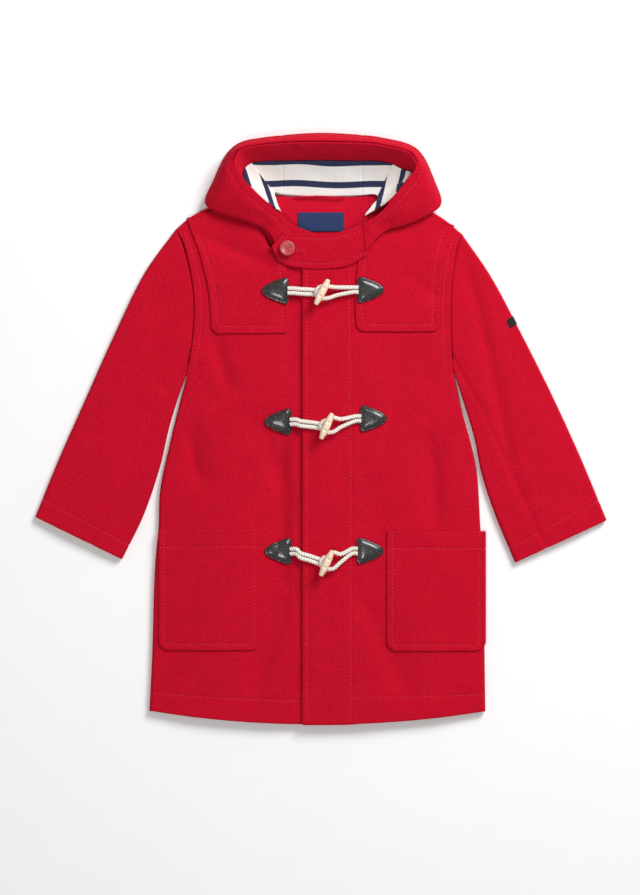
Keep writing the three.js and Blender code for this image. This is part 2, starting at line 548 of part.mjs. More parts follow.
// Inside of the hood: the wool facing from the rim to the lining, and the lining down to the neck.
const BOWL = table(["at", "facX", "facY", "facZ", "neckX", "neckY", "neckZ"], [
  [2, -46, 257, 17, -45.5, 254, 11], [3, -64, 272, 20, -51, 264, 10.5], [4, -79, 287, 21, -54, 271, 9.5],
  [5, -89.5, 298, 21, -55.5, 276, 8.6], [6, -93, 309, 22, -57, 279.5, 7.8], [7, -87, 316, 22, -57, 282, 7.3],
  [8, -76, 319, 22, -56, 283.5, 7], [9, -62, 320, 22, -52, 283, 6.6], [10, -47, 320, 22, -46, 281.5, 6.3],
  [11, -20, 320.5, 22, -20, 279.5, 6], [12, 10, 320.5, 22, 10, 279, 6], [13, 49, 320, 22, 49, 280.5, 6.3],
  [14, 64, 320, 22, 60, 281.5, 6.8], [15, 82, 317, 22, 67, 280, 7.3], [16, 95, 311, 22, 68, 276, 8],
  [17, 104, 304, 22, 66, 272, 8.6], [18, 99.5, 299, 21, 62, 268, 9.5], [19, 94, 291.5, 21, 58, 263, 10.5],
  [20, 81.5, 277.5, 20, 54, 258, 11], [21, 64, 260, 18, 51, 251, 12],
]);
const bowlAt = curves(BOWL);
const RIM_IN = WOOL + 1.7; // the facing starts this far inside the wool's outer face
const LINING_SAG = 2.5;

function hoodFacing(a, v) {
  const rim = hoodWool(a, 3);
  const [fx, fy, fz] = [bowlAt.facX(a), bowlAt.facY(a), bowlAt.facZ(a)];
  const reach = Math.hypot(fx - rim[0], fy - rim[1]) + 1e-6;
  const start = Math.min(RIM_IN / reach, 0.6);
  const s = mix(start, 1, v);
  return [mix(rim[0], fx, s), mix(rim[1], fy, s), mix(rim[2] - 0.4, fz, v) + 1.6 * Math.sin(Math.PI * v)];
}
function hoodLining(a, v) {
  const top = [bowlAt.facX(a), bowlAt.facY(a), bowlAt.facZ(a)];
  const neck = [bowlAt.neckX(a), bowlAt.neckY(a), bowlAt.neckZ(a)];
  const s = mix(0.035, 1, v);
  const sag = LINING_SAG * Math.sin(Math.PI * s);
  return [mix(top[0], neck[0], s), mix(top[1], neck[1], s), mix(top[2], neck[2], s) - sag];
}
const BOWL_FROM = 2.6;
const BOWL_TO = 20.4;
add("hood_facing", wall(hoodFacing, steps(BOWL_FROM, BOWL_TO, 26), steps(0, 1, 2), FACING, -1), FACING_RED);
const lining = (columns) => wall(hoodLining, columns, steps(0, 1, 4), JERSEY, -1);
add("hood_lining_right", lining(stations(BOWL_FROM, HOOD_SEAM_RIGHT, 10)), CREAM);
add("hood_lining_center", lining(stations(HOOD_SEAM_RIGHT, HOOD_SEAM_LEFT, 4)), CREAM);
add("hood_lining_left", lining(stations(HOOD_SEAM_LEFT, BOWL_TO, 10)), CREAM);

// The rest of the crown lies folded under the opening as one rounded stack.
const FOLD_FROM = 6.3;
const FOLD_TO = 16.7;
const FOLD_CLEAR = 1.2;
const FOLD_PROFILE = 9;
function crownSection(a) {
  const wall0 = hoodWool(a, 1.5);
  const rim = hoodWool(a, 3);
  const reach = Math.hypot(rim[0] - wall0[0], rim[1] - wall0[1]);
  const [wx, wy] = [(rim[0] - wall0[0]) / reach, (rim[1] - wall0[1]) / reach];
  const tuck = hoodAt.roll(a) + hoodAt.tuck(a) + 1;
  const foot = [hoodAt.foldX(a) + wx * tuck, hoodAt.foldY(a) + wy * tuck];
  const top = hoodFacing(a, 1);
  const shoulderIn = [mix(foot[0], top[0], 0.3), mix(foot[1], top[1], 0.3)];
  const inner = hoodLining(a, 0.62);
  const mid = hoodLining(a, 0.3);
  return [
    [foot[0], foot[1], 0], [foot[0] + wx * 0.8, foot[1] + wy * 0.8, 6],
    [shoulderIn[0], shoulderIn[1], 15.5], [top[0], top[1], top[2] - FACING - FOLD_CLEAR - 2.4],
    [mid[0], mid[1], mid[2] - JERSEY - FOLD_CLEAR], [inner[0], inner[1], inner[2] - JERSEY - FOLD_CLEAR],
    [inner[0], inner[1], 0], [mid[0], mid[1], 0], [top[0], top[1], 0],
  ];
}
{
  const ends = steps(FOLD_FROM, FOLD_TO, 16);
  const points = ends.flatMap(crownSection);
  const faces = [];
  for (let j = 0; j < ends.length - 1; j++)
    for (let i = 0; i < FOLD_PROFILE; i++) {
      const [a, b] = [j * FOLD_PROFILE + i, j * FOLD_PROFILE + ((i + 1) % FOLD_PROFILE)];
      faces.push([a, b, b + FOLD_PROFILE, a, b + FOLD_PROFILE, a + FOLD_PROFILE]);
    }
  const lastRow = (ends.length - 1) * FOLD_PROFILE;
  for (const [k, flip] of [[0, true], [lastRow, false]]) {
    const strip = [[0, 1, 8], [1, 2, 8], [2, 3, 8], [3, 4, 8], [4, 7, 8], [4, 5, 7], [5, 6, 7]];
    for (const [a, b, c] of strip) faces.push(flip ? [k + a, k + c, k + b] : [k + a, k + b, k + c]);
  }
  add("hood_fold", meshFrom(points, faces), FACING_RED);
}

// Neck band with its pointed tab, from the tab's point to the left side of the hood.
const BAND = table(["at", "lowX", "lowY", "lowZ", "topX", "topY", "topZ", "point"], [
  [0, -51, 199.5, 18.4, -45.5, 233.5, 24.5, 11], [0.18, -40, 194.8, 18, -30, 232.5, 24, 5],
  [0.36, -23, 192.2, 17.8, -12, 232, 23, 1.5], [0.6, 3, 191.2, 17.8, 8, 231.5, 22.6, 0],
  [0.85, 32, 195, 19, 30, 236, 22.8, 0], [1, 50.5, 205, 20.8, 46, 242, 23.6, 0],
]);
const bandAt = curves(BAND);
const BAND_THICK = 2;
function bandTop(u, v) {
  const point = bandAt.point(u) * (1 - Math.abs(2 * v - 1));
  return [mix(bandAt.lowX(u), bandAt.topX(u), v) - point, mix(bandAt.lowY(u), bandAt.topY(u), v),
    mix(bandAt.lowZ(u), bandAt.topZ(u), v) + 1.2 * Math.sin(Math.PI * v)];
}
const bandColumns = [0, 0.09, 0.18, 0.27, ...steps(0.38, 1, 6)];
add("neck_band", wall(bandTop, bandColumns, steps(0, 1, 6), BAND_THICK, 1), WOOL_RED);

// Facing of the back neck, label and hanger loop.
const NECK_FACING_TOP = 4.6;
const neckFacing = (s, t) => {
  const half = mix(47, 52.5, t);
  const x = mix(-half - 1, half + 3, s);
  const rise = 3.4 * Math.abs(2 * s - 1) ** 5 * ease(0.4, 0.9, t);
  return [x, mix(170, 277 + 1.2 * (2 * s - 1) ** 2, t), NECK_FACING_TOP + rise];
};
add("back_neck_facing", wall(neckFacing, steps(0, 1, 8), [0, 0.4, 0.6, 0.8, 1], FACING, 1), FACING_RED);
const labelCarrier = () => NECK_FACING_TOP;
plate("neck_label", (s, t) => [mix(-28, 27, s), mix(236.5, 259, t)], labelCarrier, [0, 1], [0, 1], NAVY, 0.6);

// A cord along a smooth path, with steps of this many diameters.
function tube(points, radius, sides = 8, perStep = 2.2) {
  const path = new THREE.CatmullRomCurve3(points.map((p) => new THREE.Vector3(...p)), false, "centripetal");
  const count = Math.max(4, Math.round(path.getLength() / (radius * 2 * perStep)));
  const ring = new THREE.Shape(steps(0, 1, sides).slice(0, -1).map((k) =>
    new THREE.Vector2(radius * Math.cos(2 * Math.PI * k), radius * Math.sin(2 * Math.PI * k))));
  return new THREE.ExtrudeGeometry(ring, { extrudePath: path, steps: count, bevelEnabled: false });
}
const HANGER = [[-31, 279, 7.75], [-26, 278.3, 8.4], [0, 277.4, 8.8], [24, 277.8, 8.4], [28, 278.4, 7.8]];
const HANGER_RADIUS = 1.7;
add("hanger_loop", tube(HANGER, HANGER_RADIUS), FACING_RED);

// Toggle fastenings: two domed patches, a wooden toggle across them, two cord legs and a loop.
const FASTENINGS = table(["name", "x", "y", "lean", "rightX", "rightY", "leftX", "leftY", "loopY"], [
  ["top", 0.6, 162, 62.6, -39.3, 164.4, 42.8, 165.4, 163],
  ["middle", 6, 2, 66, -36.1, 7.4, 46.1, 11.2, 6.2],
  ["bottom", 6, -161.4, 64.6, -35.9, -148, 42, -147.4, -155],
]);
const PATCH = table(["at", "half"], [
  [0, 12], [0.06, 15.3], [0.16, 16.8], [0.32, 15.4], [0.5, 12.5], [0.73, 8.4], [0.92, 4.4], [1, 0.6],
]);
const PATCH_LENGTH = 32.4;
const PATCH_EDGE = 1.6;
const PATCH_CROWN = 5.4;
const patchHalf = through(PATCH, "half");

// A domed patch with its flat side at x and its tip pointing away by "out".
function leatherPatch(name, x, y, out, carrier) {
  const along = [0, 0.06, 0.18, 0.38, 0.62, 0.86, 1];
  const back = [...along].reverse();
  const rim = [...along.map((s) => [s, -patchHalf(s)]), ...back.map((s) => [s, patchHalf(s)])];
  const outline = rim.map(([s, h]) => [x + out * s * PATCH_LENGTH, y + h]);
  const centre = [x + out * PATCH_LENGTH * 0.4, y];
  const rings = [[1, 0], [1, PATCH_EDGE * 0.8], [0.93, PATCH_EDGE + 0.7], [0.7, PATCH_CROWN * 0.8],
    [0.35, PATCH_CROWN * 0.97]];
  const points = [[...centre, carrier(...centre) + SEAM]];
  for (const [scale, height] of rings)
    for (const [px, py] of outline) {
      const [qx, qy] = [mix(centre[0], px, scale), mix(centre[1], py, scale)];
      points.push([qx, qy, carrier(qx, qy) + SEAM + height]);
    }
  points.push([...centre, carrier(...centre) + SEAM + PATCH_CROWN]);
  const n = outline.length;
  const faces = [];
  for (let i = 0; i < n; i++) {
    const j = (i + 1) % n;
    faces.push([0, 1 + j, 1 + i]);
    for (let r = 0; r < rings.length - 1; r++) {
      const [a, b] = [1 + r * n + i, 1 + r * n + j];
      faces.push([a, b, b + n, a, b + n, a + n]);
    }
    const k = 1 + (rings.length - 1) * n;
    faces.push([k + i, k + j, points.length - 1]);
  }
  add(name, meshFrom(points, out > 0 ? faces : faces.map((f) => reversed(f))), LEATHER);
}
function reversed(f) {
  const turned = [];
  for (let i = 0; i < f.length; i += 3) turned.push(f[i], f[i + 2], f[i + 1]);
  return turned;
}

// A geometry as a solid, for cutting holes.
function solid(geometry) {
  const g = geometry.clone();
  for (const name of Object.keys(g.attributes)) if (name !== "position") g.deleteAttribute(name);
  const merged = mergeVertices(g, 1e-4);
  return new wasm.Manifold(new wasm.Mesh({
    numProp: 3,
    vertProperties: merged.attributes.position.array,
    triVerts: new Uint32Array(merged.index.array),
  }));
}
function drilled(geometry, drills) {
  const cut = drills.reduce((body, drill) => body.subtract(solid(drill)), solid(geometry)).getMesh();
  const pointAt = (_, i) => [...cut.vertProperties.slice(i * 3, i * 3 + 3)];
  const points = Array.from({ length: cut.numVert }, pointAt);
  return meshFrom(points, [Array.from(cut.triVerts)]);
}

const ON_CLOTH = SEAM + CORD_RADIUS; // height of a cord's middle over the cloth
const LEG_APART = 2.5; // half the distance between the two legs of a cord
const LOOP_APART = 6.7;
const placketTop = overHeight(0, 0);
const LOOP_Z = placketTop + ON_CLOTH + 2 * CORD_RADIUS + SEAM;
const TOGGLE_Z = LOOP_Z + CORD_RADIUS + SEAM + TOGGLE_RADIUS;
const onYoke = TRIM_GAP + TRIM_THICK;
const UNDER_LEVEL = -52; // right of this the front underneath dips, and a patch bridges the dip
for (const f of FASTENINGS) {
  const lift = f.name === "top" ? onYoke : 0;
  const underCarrier = (x, y) => underHeight(Math.min(x, UNDER_LEVEL), y) + lift;
  leatherPatch("patch_right_" + f.name, f.rightX, f.rightY, -1, underCarrier);
  leatherPatch("patch_left_" + f.name, f.leftX, f.leftY, 1, (x, y) => overHeight(x, y) + lift);
  const lean = THREE.MathUtils.degToRad(f.lean);
  const [ax, ay] = [Math.cos(lean), Math.sin(lean)];
  for (const [which, side] of [["upper", 1], ["lower", -1]]) {
    const patchZ = underHeight(UNDER_LEVEL, f.rightY) + lift + ON_CLOTH + 0.5;
    const legZ = placketTop + ON_CLOTH;
    const offset = side * LEG_APART;
    const [px, py] = [f.x + ax * offset, f.y + ay * offset];
    add(`cord_leg_${which}_${f.name}`, tube([
      [f.rightX + SEAM, f.rightY + offset, patchZ],
      [f.rightX + 6, f.rightY + offset, Math.max(patchZ, mix(patchZ, legZ, 0.6))],
      [PLACKET_EDGE - 3, mix(f.rightY, f.y, 0.35) + offset, Math.max(legZ, patchZ) + 0.3],
      [PLACKET_EDGE + 8, mix(f.rightY, f.y, 0.6) + offset, legZ + 0.1],
      [px - 4.5, py, legZ + 0.1],
      [px - 0.8, py, legZ + 1.2],
      [px, py, LOOP_Z],
      [px, py, TOGGLE_Z - TOGGLE_RADIUS - 0.5],
    ], CORD_RADIUS, 8, 1.4), CORD);
  }
  const leftZ = overHeight(f.leftX, f.leftY) + lift + ON_CLOTH + 0.4;
  const turns = steps(-1, 1, 8).map((k) => {
    const angle = Math.PI / 2 + ((1 - k) * Math.PI) / 2;
    return [f.x + LOOP_APART * Math.cos(angle), f.y + (LOOP_APART + 0.3) * Math.sin(angle), LOOP_Z];
  });
  add("cord_loop_" + f.name, tube([
    [f.leftX - SEAM, f.leftY + LEG_APART, leftZ], [f.leftX - 5, f.leftY + LEG_APART, leftZ],
    [f.x + 17, mix(f.leftY, f.y, 0.6) + LEG_APART + 2, LOOP_Z - 1.6],
    [f.x + 8, f.loopY + LOOP_APART - 0.8, LOOP_Z],
    ...turns.reverse(), [f.x + 8, f.y - LOOP_APART + 0.2, LOOP_Z],
    [f.x + 17, mix(f.leftY, f.y, 0.6) - LEG_APART - 2, LOOP_Z - 1.6],
    [f.leftX - 5, f.leftY - LEG_APART, leftZ], [f.leftX - SEAM, f.leftY - LEG_APART, leftZ],
  ], CORD_RADIUS, 8, 1.3), CORD);
  const half = TOGGLE_LENGTH / 2;
  const profile = [
    [0, -half], [2.2, -half], [2.9, -half + 0.8], [4, -half * 0.6], [TOGGLE_RADIUS, 0],
    [4, half * 0.6], [2.9, half - 0.8], [2.2, half], [0, half],
  ].map(([r, y]) => new THREE.Vector2(r, y));
  const holes = [-1, 1].map((side) => new THREE.CylinderGeometry(TOGGLE_HOLE, TOGGLE_HOLE, 14, 8)
    .rotateX(Math.PI / 2).translate(0, side * 5.2, 0));
  const toggle = add("toggle_" + f.name, drilled(new THREE.LatheGeometry(profile, 12), holes), WOOD);
  toggle.rotation.z = lean - Math.PI / 2;
  toggle.position.set(f.x, f.y, TOGGLE_Z);
}

// Button on the tab: a dished disc with four holes.
const BUTTON = new THREE.Vector3(-41, 215, 24.2);
const BUTTON_HOLE = 0.9;
const HOLES_OUT = 2.1;
const buttonProfile = [
  [0, 0], [7.8, 0], [BUTTON_RADIUS, 1], [BUTTON_RADIUS, 2.2], [8.2, 3], [6.6, 2.9], [5.6, 2.2], [0, 2.2],
].map(([r, z]) => new THREE.Vector2(r, z));
const buttonHoles = [0.5, 1.5, 2.5, 3.5].map((quarter) => {
  const angle = (quarter * Math.PI) / 2;
  return new THREE.CylinderGeometry(BUTTON_HOLE, BUTTON_HOLE, 8, 6)
    .translate(HOLES_OUT * Math.cos(angle), 0, HOLES_OUT * Math.sin(angle));
});
const button = add("button", drilled(new THREE.LatheGeometry(buttonProfile, 20), buttonHoles), BUTTON_RED);
button.rotation.x = Math.PI / 2;
button.position.copy(BUTTON);

// Small bare tag on the outer fold of the left sleeve, square to the fold: the sleeve's rows run
// aslant to it.
const TAG_SIZE = 9;
const TAG_THICK = 0.6;
const TAG_AT = 0.35; // share of the sleeve from the armhole
const TAG_REACH = [-0.45, 0.055]; // from the fold in over the top
const TAG_SLANT = 0.6;
const SLEEVE_LENGTH = 385;
const SLEEVE_WIDTH = 115;
const tagSurface = sleeveSurface(LEFT_SLEEVE, LEFT);
const tag = (s, t) => {
  const turn = mix(...TAG_REACH, s);
  const round = SLEEVE_ROLL * (1 - Math.sin((turn + 1) * Math.PI));
  const inward = turn < 0 ? round : SLEEVE_ROLL + turn * SLEEVE_WIDTH;
  return tagSurface(turn, TAG_AT + (TAG_SIZE * (t - 0.5) - TAG_SLANT * inward) / SLEEVE_LENGTH);
};
add("sleeve_tag", wall(movedOut(tag, SEAM + TAG_THICK, 1), steps(0, 1, 5), [0, 1], TAG_THICK, 1), LEATHER);

// The origin is the middle of the coat's outline, on the surface it lies on.
const reach = new THREE.Box3().setFromObject(coat);
const part = new THREE.Group();
coat.position.set(-(reach.min.x + reach.max.x) / 2, -(reach.min.y + reach.max.y) / 2, -reach.min.z);
part.add(coat);

export default part;
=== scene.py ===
"""A child's hooded duffle coat in red wool, laid flat on its back and seen from straight above.

Millimetres on the coat's own middle line, like the solids; Placing turns them to metres in the
frame. Right and left are the wearer's. Each sub-assembly is a class, each finish a frozen dataclass.
"""

import logging
import math
from dataclasses import dataclass, field
from enum import Enum
from typing import Any, Callable, Iterable, Optional, Sequence, Union

import bpy
import numpy as np
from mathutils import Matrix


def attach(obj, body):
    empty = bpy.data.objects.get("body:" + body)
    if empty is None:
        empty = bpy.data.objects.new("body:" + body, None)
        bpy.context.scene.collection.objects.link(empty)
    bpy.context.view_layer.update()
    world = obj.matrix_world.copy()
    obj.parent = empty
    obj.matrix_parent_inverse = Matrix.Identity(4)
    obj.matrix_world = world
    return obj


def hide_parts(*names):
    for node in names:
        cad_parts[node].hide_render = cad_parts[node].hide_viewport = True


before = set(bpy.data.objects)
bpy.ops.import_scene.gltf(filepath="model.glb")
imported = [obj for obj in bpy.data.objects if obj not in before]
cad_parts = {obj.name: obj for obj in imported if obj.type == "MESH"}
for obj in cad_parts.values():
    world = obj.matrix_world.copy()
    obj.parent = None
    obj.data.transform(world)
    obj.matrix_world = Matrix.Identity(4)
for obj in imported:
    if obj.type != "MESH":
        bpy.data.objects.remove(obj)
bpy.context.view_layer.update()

LOG = logging.getLogger("duffle_coat")
Array = np.ndarray
Surface = Callable[[Array, Array], Array]
Height = Callable[[Array, Array], Array]
Colour = tuple[float, float, float]
Piece = bpy.types.Object
Material = bpy.types.Material

ROOT = "root"
SHIFT = np.array([0.61, -0.024, 0.0])  # from the coat's middle line to the middle of its outline
PIXEL = 1.2  # millimetres of coat to a pixel of the photograph
IMAGE_HIGH = 895
MIDDLE_X, MIDDLE_Y = 321.5, 428  # the pixel that the coat's own zero point is on


class Placing:
    """Turns the coat's millimetres into the frame's metres."""

    @staticmethod
    def metres(points: Array) -> Array:
        """Returns the points in metres, in the frame."""
        return (np.asarray(points, float) + SHIFT) * 0.001

    @staticmethod
    def pixel(px: float, py: float) -> tuple[float, float]:
        """Returns the plan point that a pixel of the photograph shows."""
        return (px - MIDDLE_X) * PIXEL, (MIDDLE_Y - py) * PIXEL


def ease(start: float, end: float, at: Any) -> Array:
    """Returns a smooth step from 0 at start to 1 at end."""
    t = np.clip((np.asarray(at, float) - start) / (end - start), 0, 1)
    return t * t * (3 - 2 * t)


def mix(a: Any, b: Any, t: Any) -> Any:
    """Returns the value a share t of the way from a to b."""
    return a + (b - a) * t


def steps(start: float, end: float, count: int) -> list[float]:
    """Returns count + 1 even values from start to end."""
    return list(np.linspace(start, end, count + 1))


def spread(*stretches: tuple[float, float, int]) -> list[float]:
    """Joins even stretches of values, each given as start, end and count, into one rising list."""
    values: set[float] = set()
    for start, end, count in stretches:
        values.update(round(float(v), 6) for v in np.linspace(start, end, count + 1))
    return sorted(values)


class Curve:
    """A smooth curve through knots, straight beyond both ends."""

    def __init__(self, at: Sequence[float], value: Sequence[float]) -> None:
        """Works out the slopes.

        Args:
            at: rising places of the knots.
            value: value at each knot.
        """
        self.at, self.value = np.array(at, float), np.array(value, float)
        before = np.maximum(np.arange(len(at)) - 1, 0)
        after = np.minimum(np.arange(len(at)) + 1, len(at) - 1)
        self.slope = (self.value[after] - self.value[before]) / (self.at[after] - self.at[before])

    def __call__(self, t: Any) -> Array:
        """Returns the curve's value at t."""
        t = np.asarray(t, float)
        i = np.clip(np.searchsorted(self.at, t, side="right") - 1, 0, len(self.at) - 2)
        gap = self.at[i + 1] - self.at[i]
        s = np.clip((t - self.at[i]) / gap, 0, 1)
        inside = ((2 * s**3 - 3 * s**2 + 1) * self.value[i] + (s**3 - 2 * s**2 + s) * gap * self.slope[i]
                  + (3 * s**2 - 2 * s**3) * self.value[i + 1] + (s**3 - s**2) * gap * self.slope[i + 1])
        below, above = np.minimum(0, t - self.at[0]), np.maximum(0, t - self.at[-1])
        return inside + below * self.slope[0] + above * self.slope[-1]


class Table:
    """Smooth curves through the columns of a small table, read at its first column."""

    def __init__(self, columns: str, rows: Sequence[Sequence[float]]) -> None:
        """Makes a curve of each column.

        Args:
            columns: names of the columns after the first.
            rows: the table's rows.
        """
        data = np.array(rows, float)
        self.rows = data
        self.curves = {name: Curve(data[:, 0], data[:, i + 1]) for i, name in enumerate(columns.split())}

    def __call__(self, name: str, t: Any) -> Array:
        """Returns a column's value at t."""
        return self.curves[name](t)


@dataclass(frozen=True)
class Crease:
    """A soft fold from one point to another: half its width, and its rise (a trough below zero)."""

    x1: float
    y1: float
    x2: float
    y2: float
    half: float
    rise: float

    def height(self, x: Array, y: Array) -> Array:
        """Returns the crease's height at plan points; it fades at both ends."""
        dx, dy = self.x2 - self.x1, self.y2 - self.y1
        along = ((x - self.x1) * dx + (y - self.y1) * dy) / (dx * dx + dy * dy)
        near = np.clip(along, 0, 1)
        off = np.hypot(x - self.x1 - near * dx, y - self.y1 - near * dy) / self.half
        return self.rise * np.exp(-off * off) * ease(-0.3, 0.3, np.minimum(along, 1 - along))


def as_creases(*rows: tuple[float, ...]) -> tuple[Crease, ...]:
    """Returns creases from rows of their six numbers."""
    return tuple(Crease(*row) for row in rows)


def creased(creases: Iterable[Crease], x: Array, y: Array) -> Array:
    """Returns the summed height of creases at plan points."""
    return sum((c.height(x, y) for c in creases), np.zeros_like(np.asarray(x, float)))


def ripple(x: Array, y: Array) -> Array:
    """Returns a slow uneven swell of about one millimetre, for cloth that nobody has ironed."""
    a = np.sin(x / 31 + 1.7 * np.sin(y / 67 + 0.4)) * np.sin(y / 43 + 1.1 * np.sin(x / 53))
    b = np.sin((x + 0.6 * y) / 19 + 0.8) * np.sin((y - 0.4 * x) / 27 + 2.1)
    return 0.42 * a + 0.16 * b


@dataclass(frozen=True)
class SewnLine:
    """A row of machine stitches through plan points, and the groove it pulls into thick wool."""

    points: tuple[tuple[float, float], ...]
    depth: float = 0.55
    half: float = 1.7

    def even(self, spacing: float = 1.5) -> Array:
        """Returns plan points along the line, this far apart."""
        given = np.array(self.points, float)
        run = np.concatenate([[0], np.cumsum(np.hypot(*np.diff(given, axis=0).T))])
        at = np.linspace(0, run[-1], max(2, int(run[-1] / spacing)))
        return np.stack([np.interp(at, run, given[:, 0]), np.interp(at, run, given[:, 1])], axis=-1)

    def groove(self, x: Array, y: Array) -> Array:
        """Returns the groove's height, zero or below, at plan points."""
        nearest = np.full(np.shape(x), 1e9)
        for (x1, y1), (x2, y2) in zip(self.points, self.points[1:]):
            dx, dy = x2 - x1, y2 - y1
            t = np.clip(((x - x1) * dx + (y - y1) * dy) / (dx * dx + dy * dy + 1e-9), 0, 1)
            nearest = np.minimum(nearest, np.hypot(x - x1 - t * dx, y - y1 - t * dy))
        pucker = 1 + 0.28 * np.sin((x + y) / 2.1) * np.sin((x - y) / 4.7 + 1)
        return -self.depth * pucker * np.exp(-((nearest / self.half) ** 2))


NUDGE = 1e-3


def normals(surface: Surface, u: Array, v: Array, facing: float) -> Array:
    """Returns the unit normals of a surface.

    Args:
        surface: gives points for u and v.
        u: first coordinate.
        v: second coordinate.
        facing: 1 or -1, the side that the outer face is on.
    """
    along = surface(u + NUDGE, v) - surface(u - NUDGE, v)
    across = surface(u, v + NUDGE) - surface(u, v - NUDGE)
    n = np.cross(along, across) * facing
    return n / (np.linalg.norm(n, axis=-1, keepdims=True) + 1e-12)


def moved_out(surface: Surface, by: float, facing: float = 1) -> Surface:
    """Returns the surface moved along its normal."""
    return lambda u, v: surface(u, v) + normals(surface, u, v, facing) * by


def line_on(surface: Surface, u: Any, v: Any, lift: float, facing: float) -> Array:
    """Returns points of a surface, lifted from it, for a seam or a row of stitches.

    Args:
        surface: gives points for u and v.
        u: first coordinates, or one for all.
        v: second coordinates, or one for all.
        lift: distance from the surface.
        facing: 1 or -1, the side that the outer face is on.
    """
    u, v = np.broadcast_arrays(np.asarray(u, float), np.asarray(v, float))
    return surface(u, v) + normals(surface, u, v, facing) * lift


# Shader expressions


class Value:
    """A number socket that can stand in a Python expression."""

    def __init__(self, shader: "Shader", socket: bpy.types.NodeSocket) -> None:
        """Keeps the shader whose nodes the expression adds to, and the socket."""
        self.shader, self.socket = shader, socket

    def _math(self, operation: str, first: Any, second: Any) -> "Value":
        """Adds a Math node for one operation."""
        return self.shader.out("ShaderNodeMath", {"operation": operation}, {0: first, 1: second})

    def __add__(self, other: Any) -> "Value":
        """Returns the sum."""
        return self._math("ADD", self, other)

    __radd__ = __add__

    def __mul__(self, other: Any) -> "Value":
        """Returns the product."""
        return self._math("MULTIPLY", self, other)

    __rmul__ = __mul__

    def __sub__(self, other: Any) -> "Value":
        """Returns the difference."""
        return self._math("SUBTRACT", self, other)

    def __rsub__(self, other: Any) -> "Value":
        """Returns the difference, this value taken from the other."""
        return self._math("SUBTRACT", other, self)

    def __truediv__(self, other: Any) -> "Value":
        """Returns the quotient."""
        return self._math("DIVIDE", self, other)

    def __pow__(self, other: Any) -> "Value":
        """Returns this value to a power."""
        return self._math("POWER", self, other)

    def wave(self) -> "Value":
        """Returns the sine of this value."""
        return self.shader.out("ShaderNodeMath", {"operation": "SINE"}, {0: self})

    def within(self, one: float) -> "Value":
        """Returns this value wrapped into 0 to one."""
        return self.shader.out("ShaderNodeMath", {"operation": "WRAP"}, {0: self, 1: one, 2: 0.0})

    def smooth(self, start: float, end: float) -> "Value":
        """Returns a smooth step of this value from 0 at start to 1 at end."""
        settings = {"interpolation_type": "SMOOTHSTEP"}
        return self.shader.out("ShaderNodeMapRange", settings, {"Value": self, 1: start, 2: end})


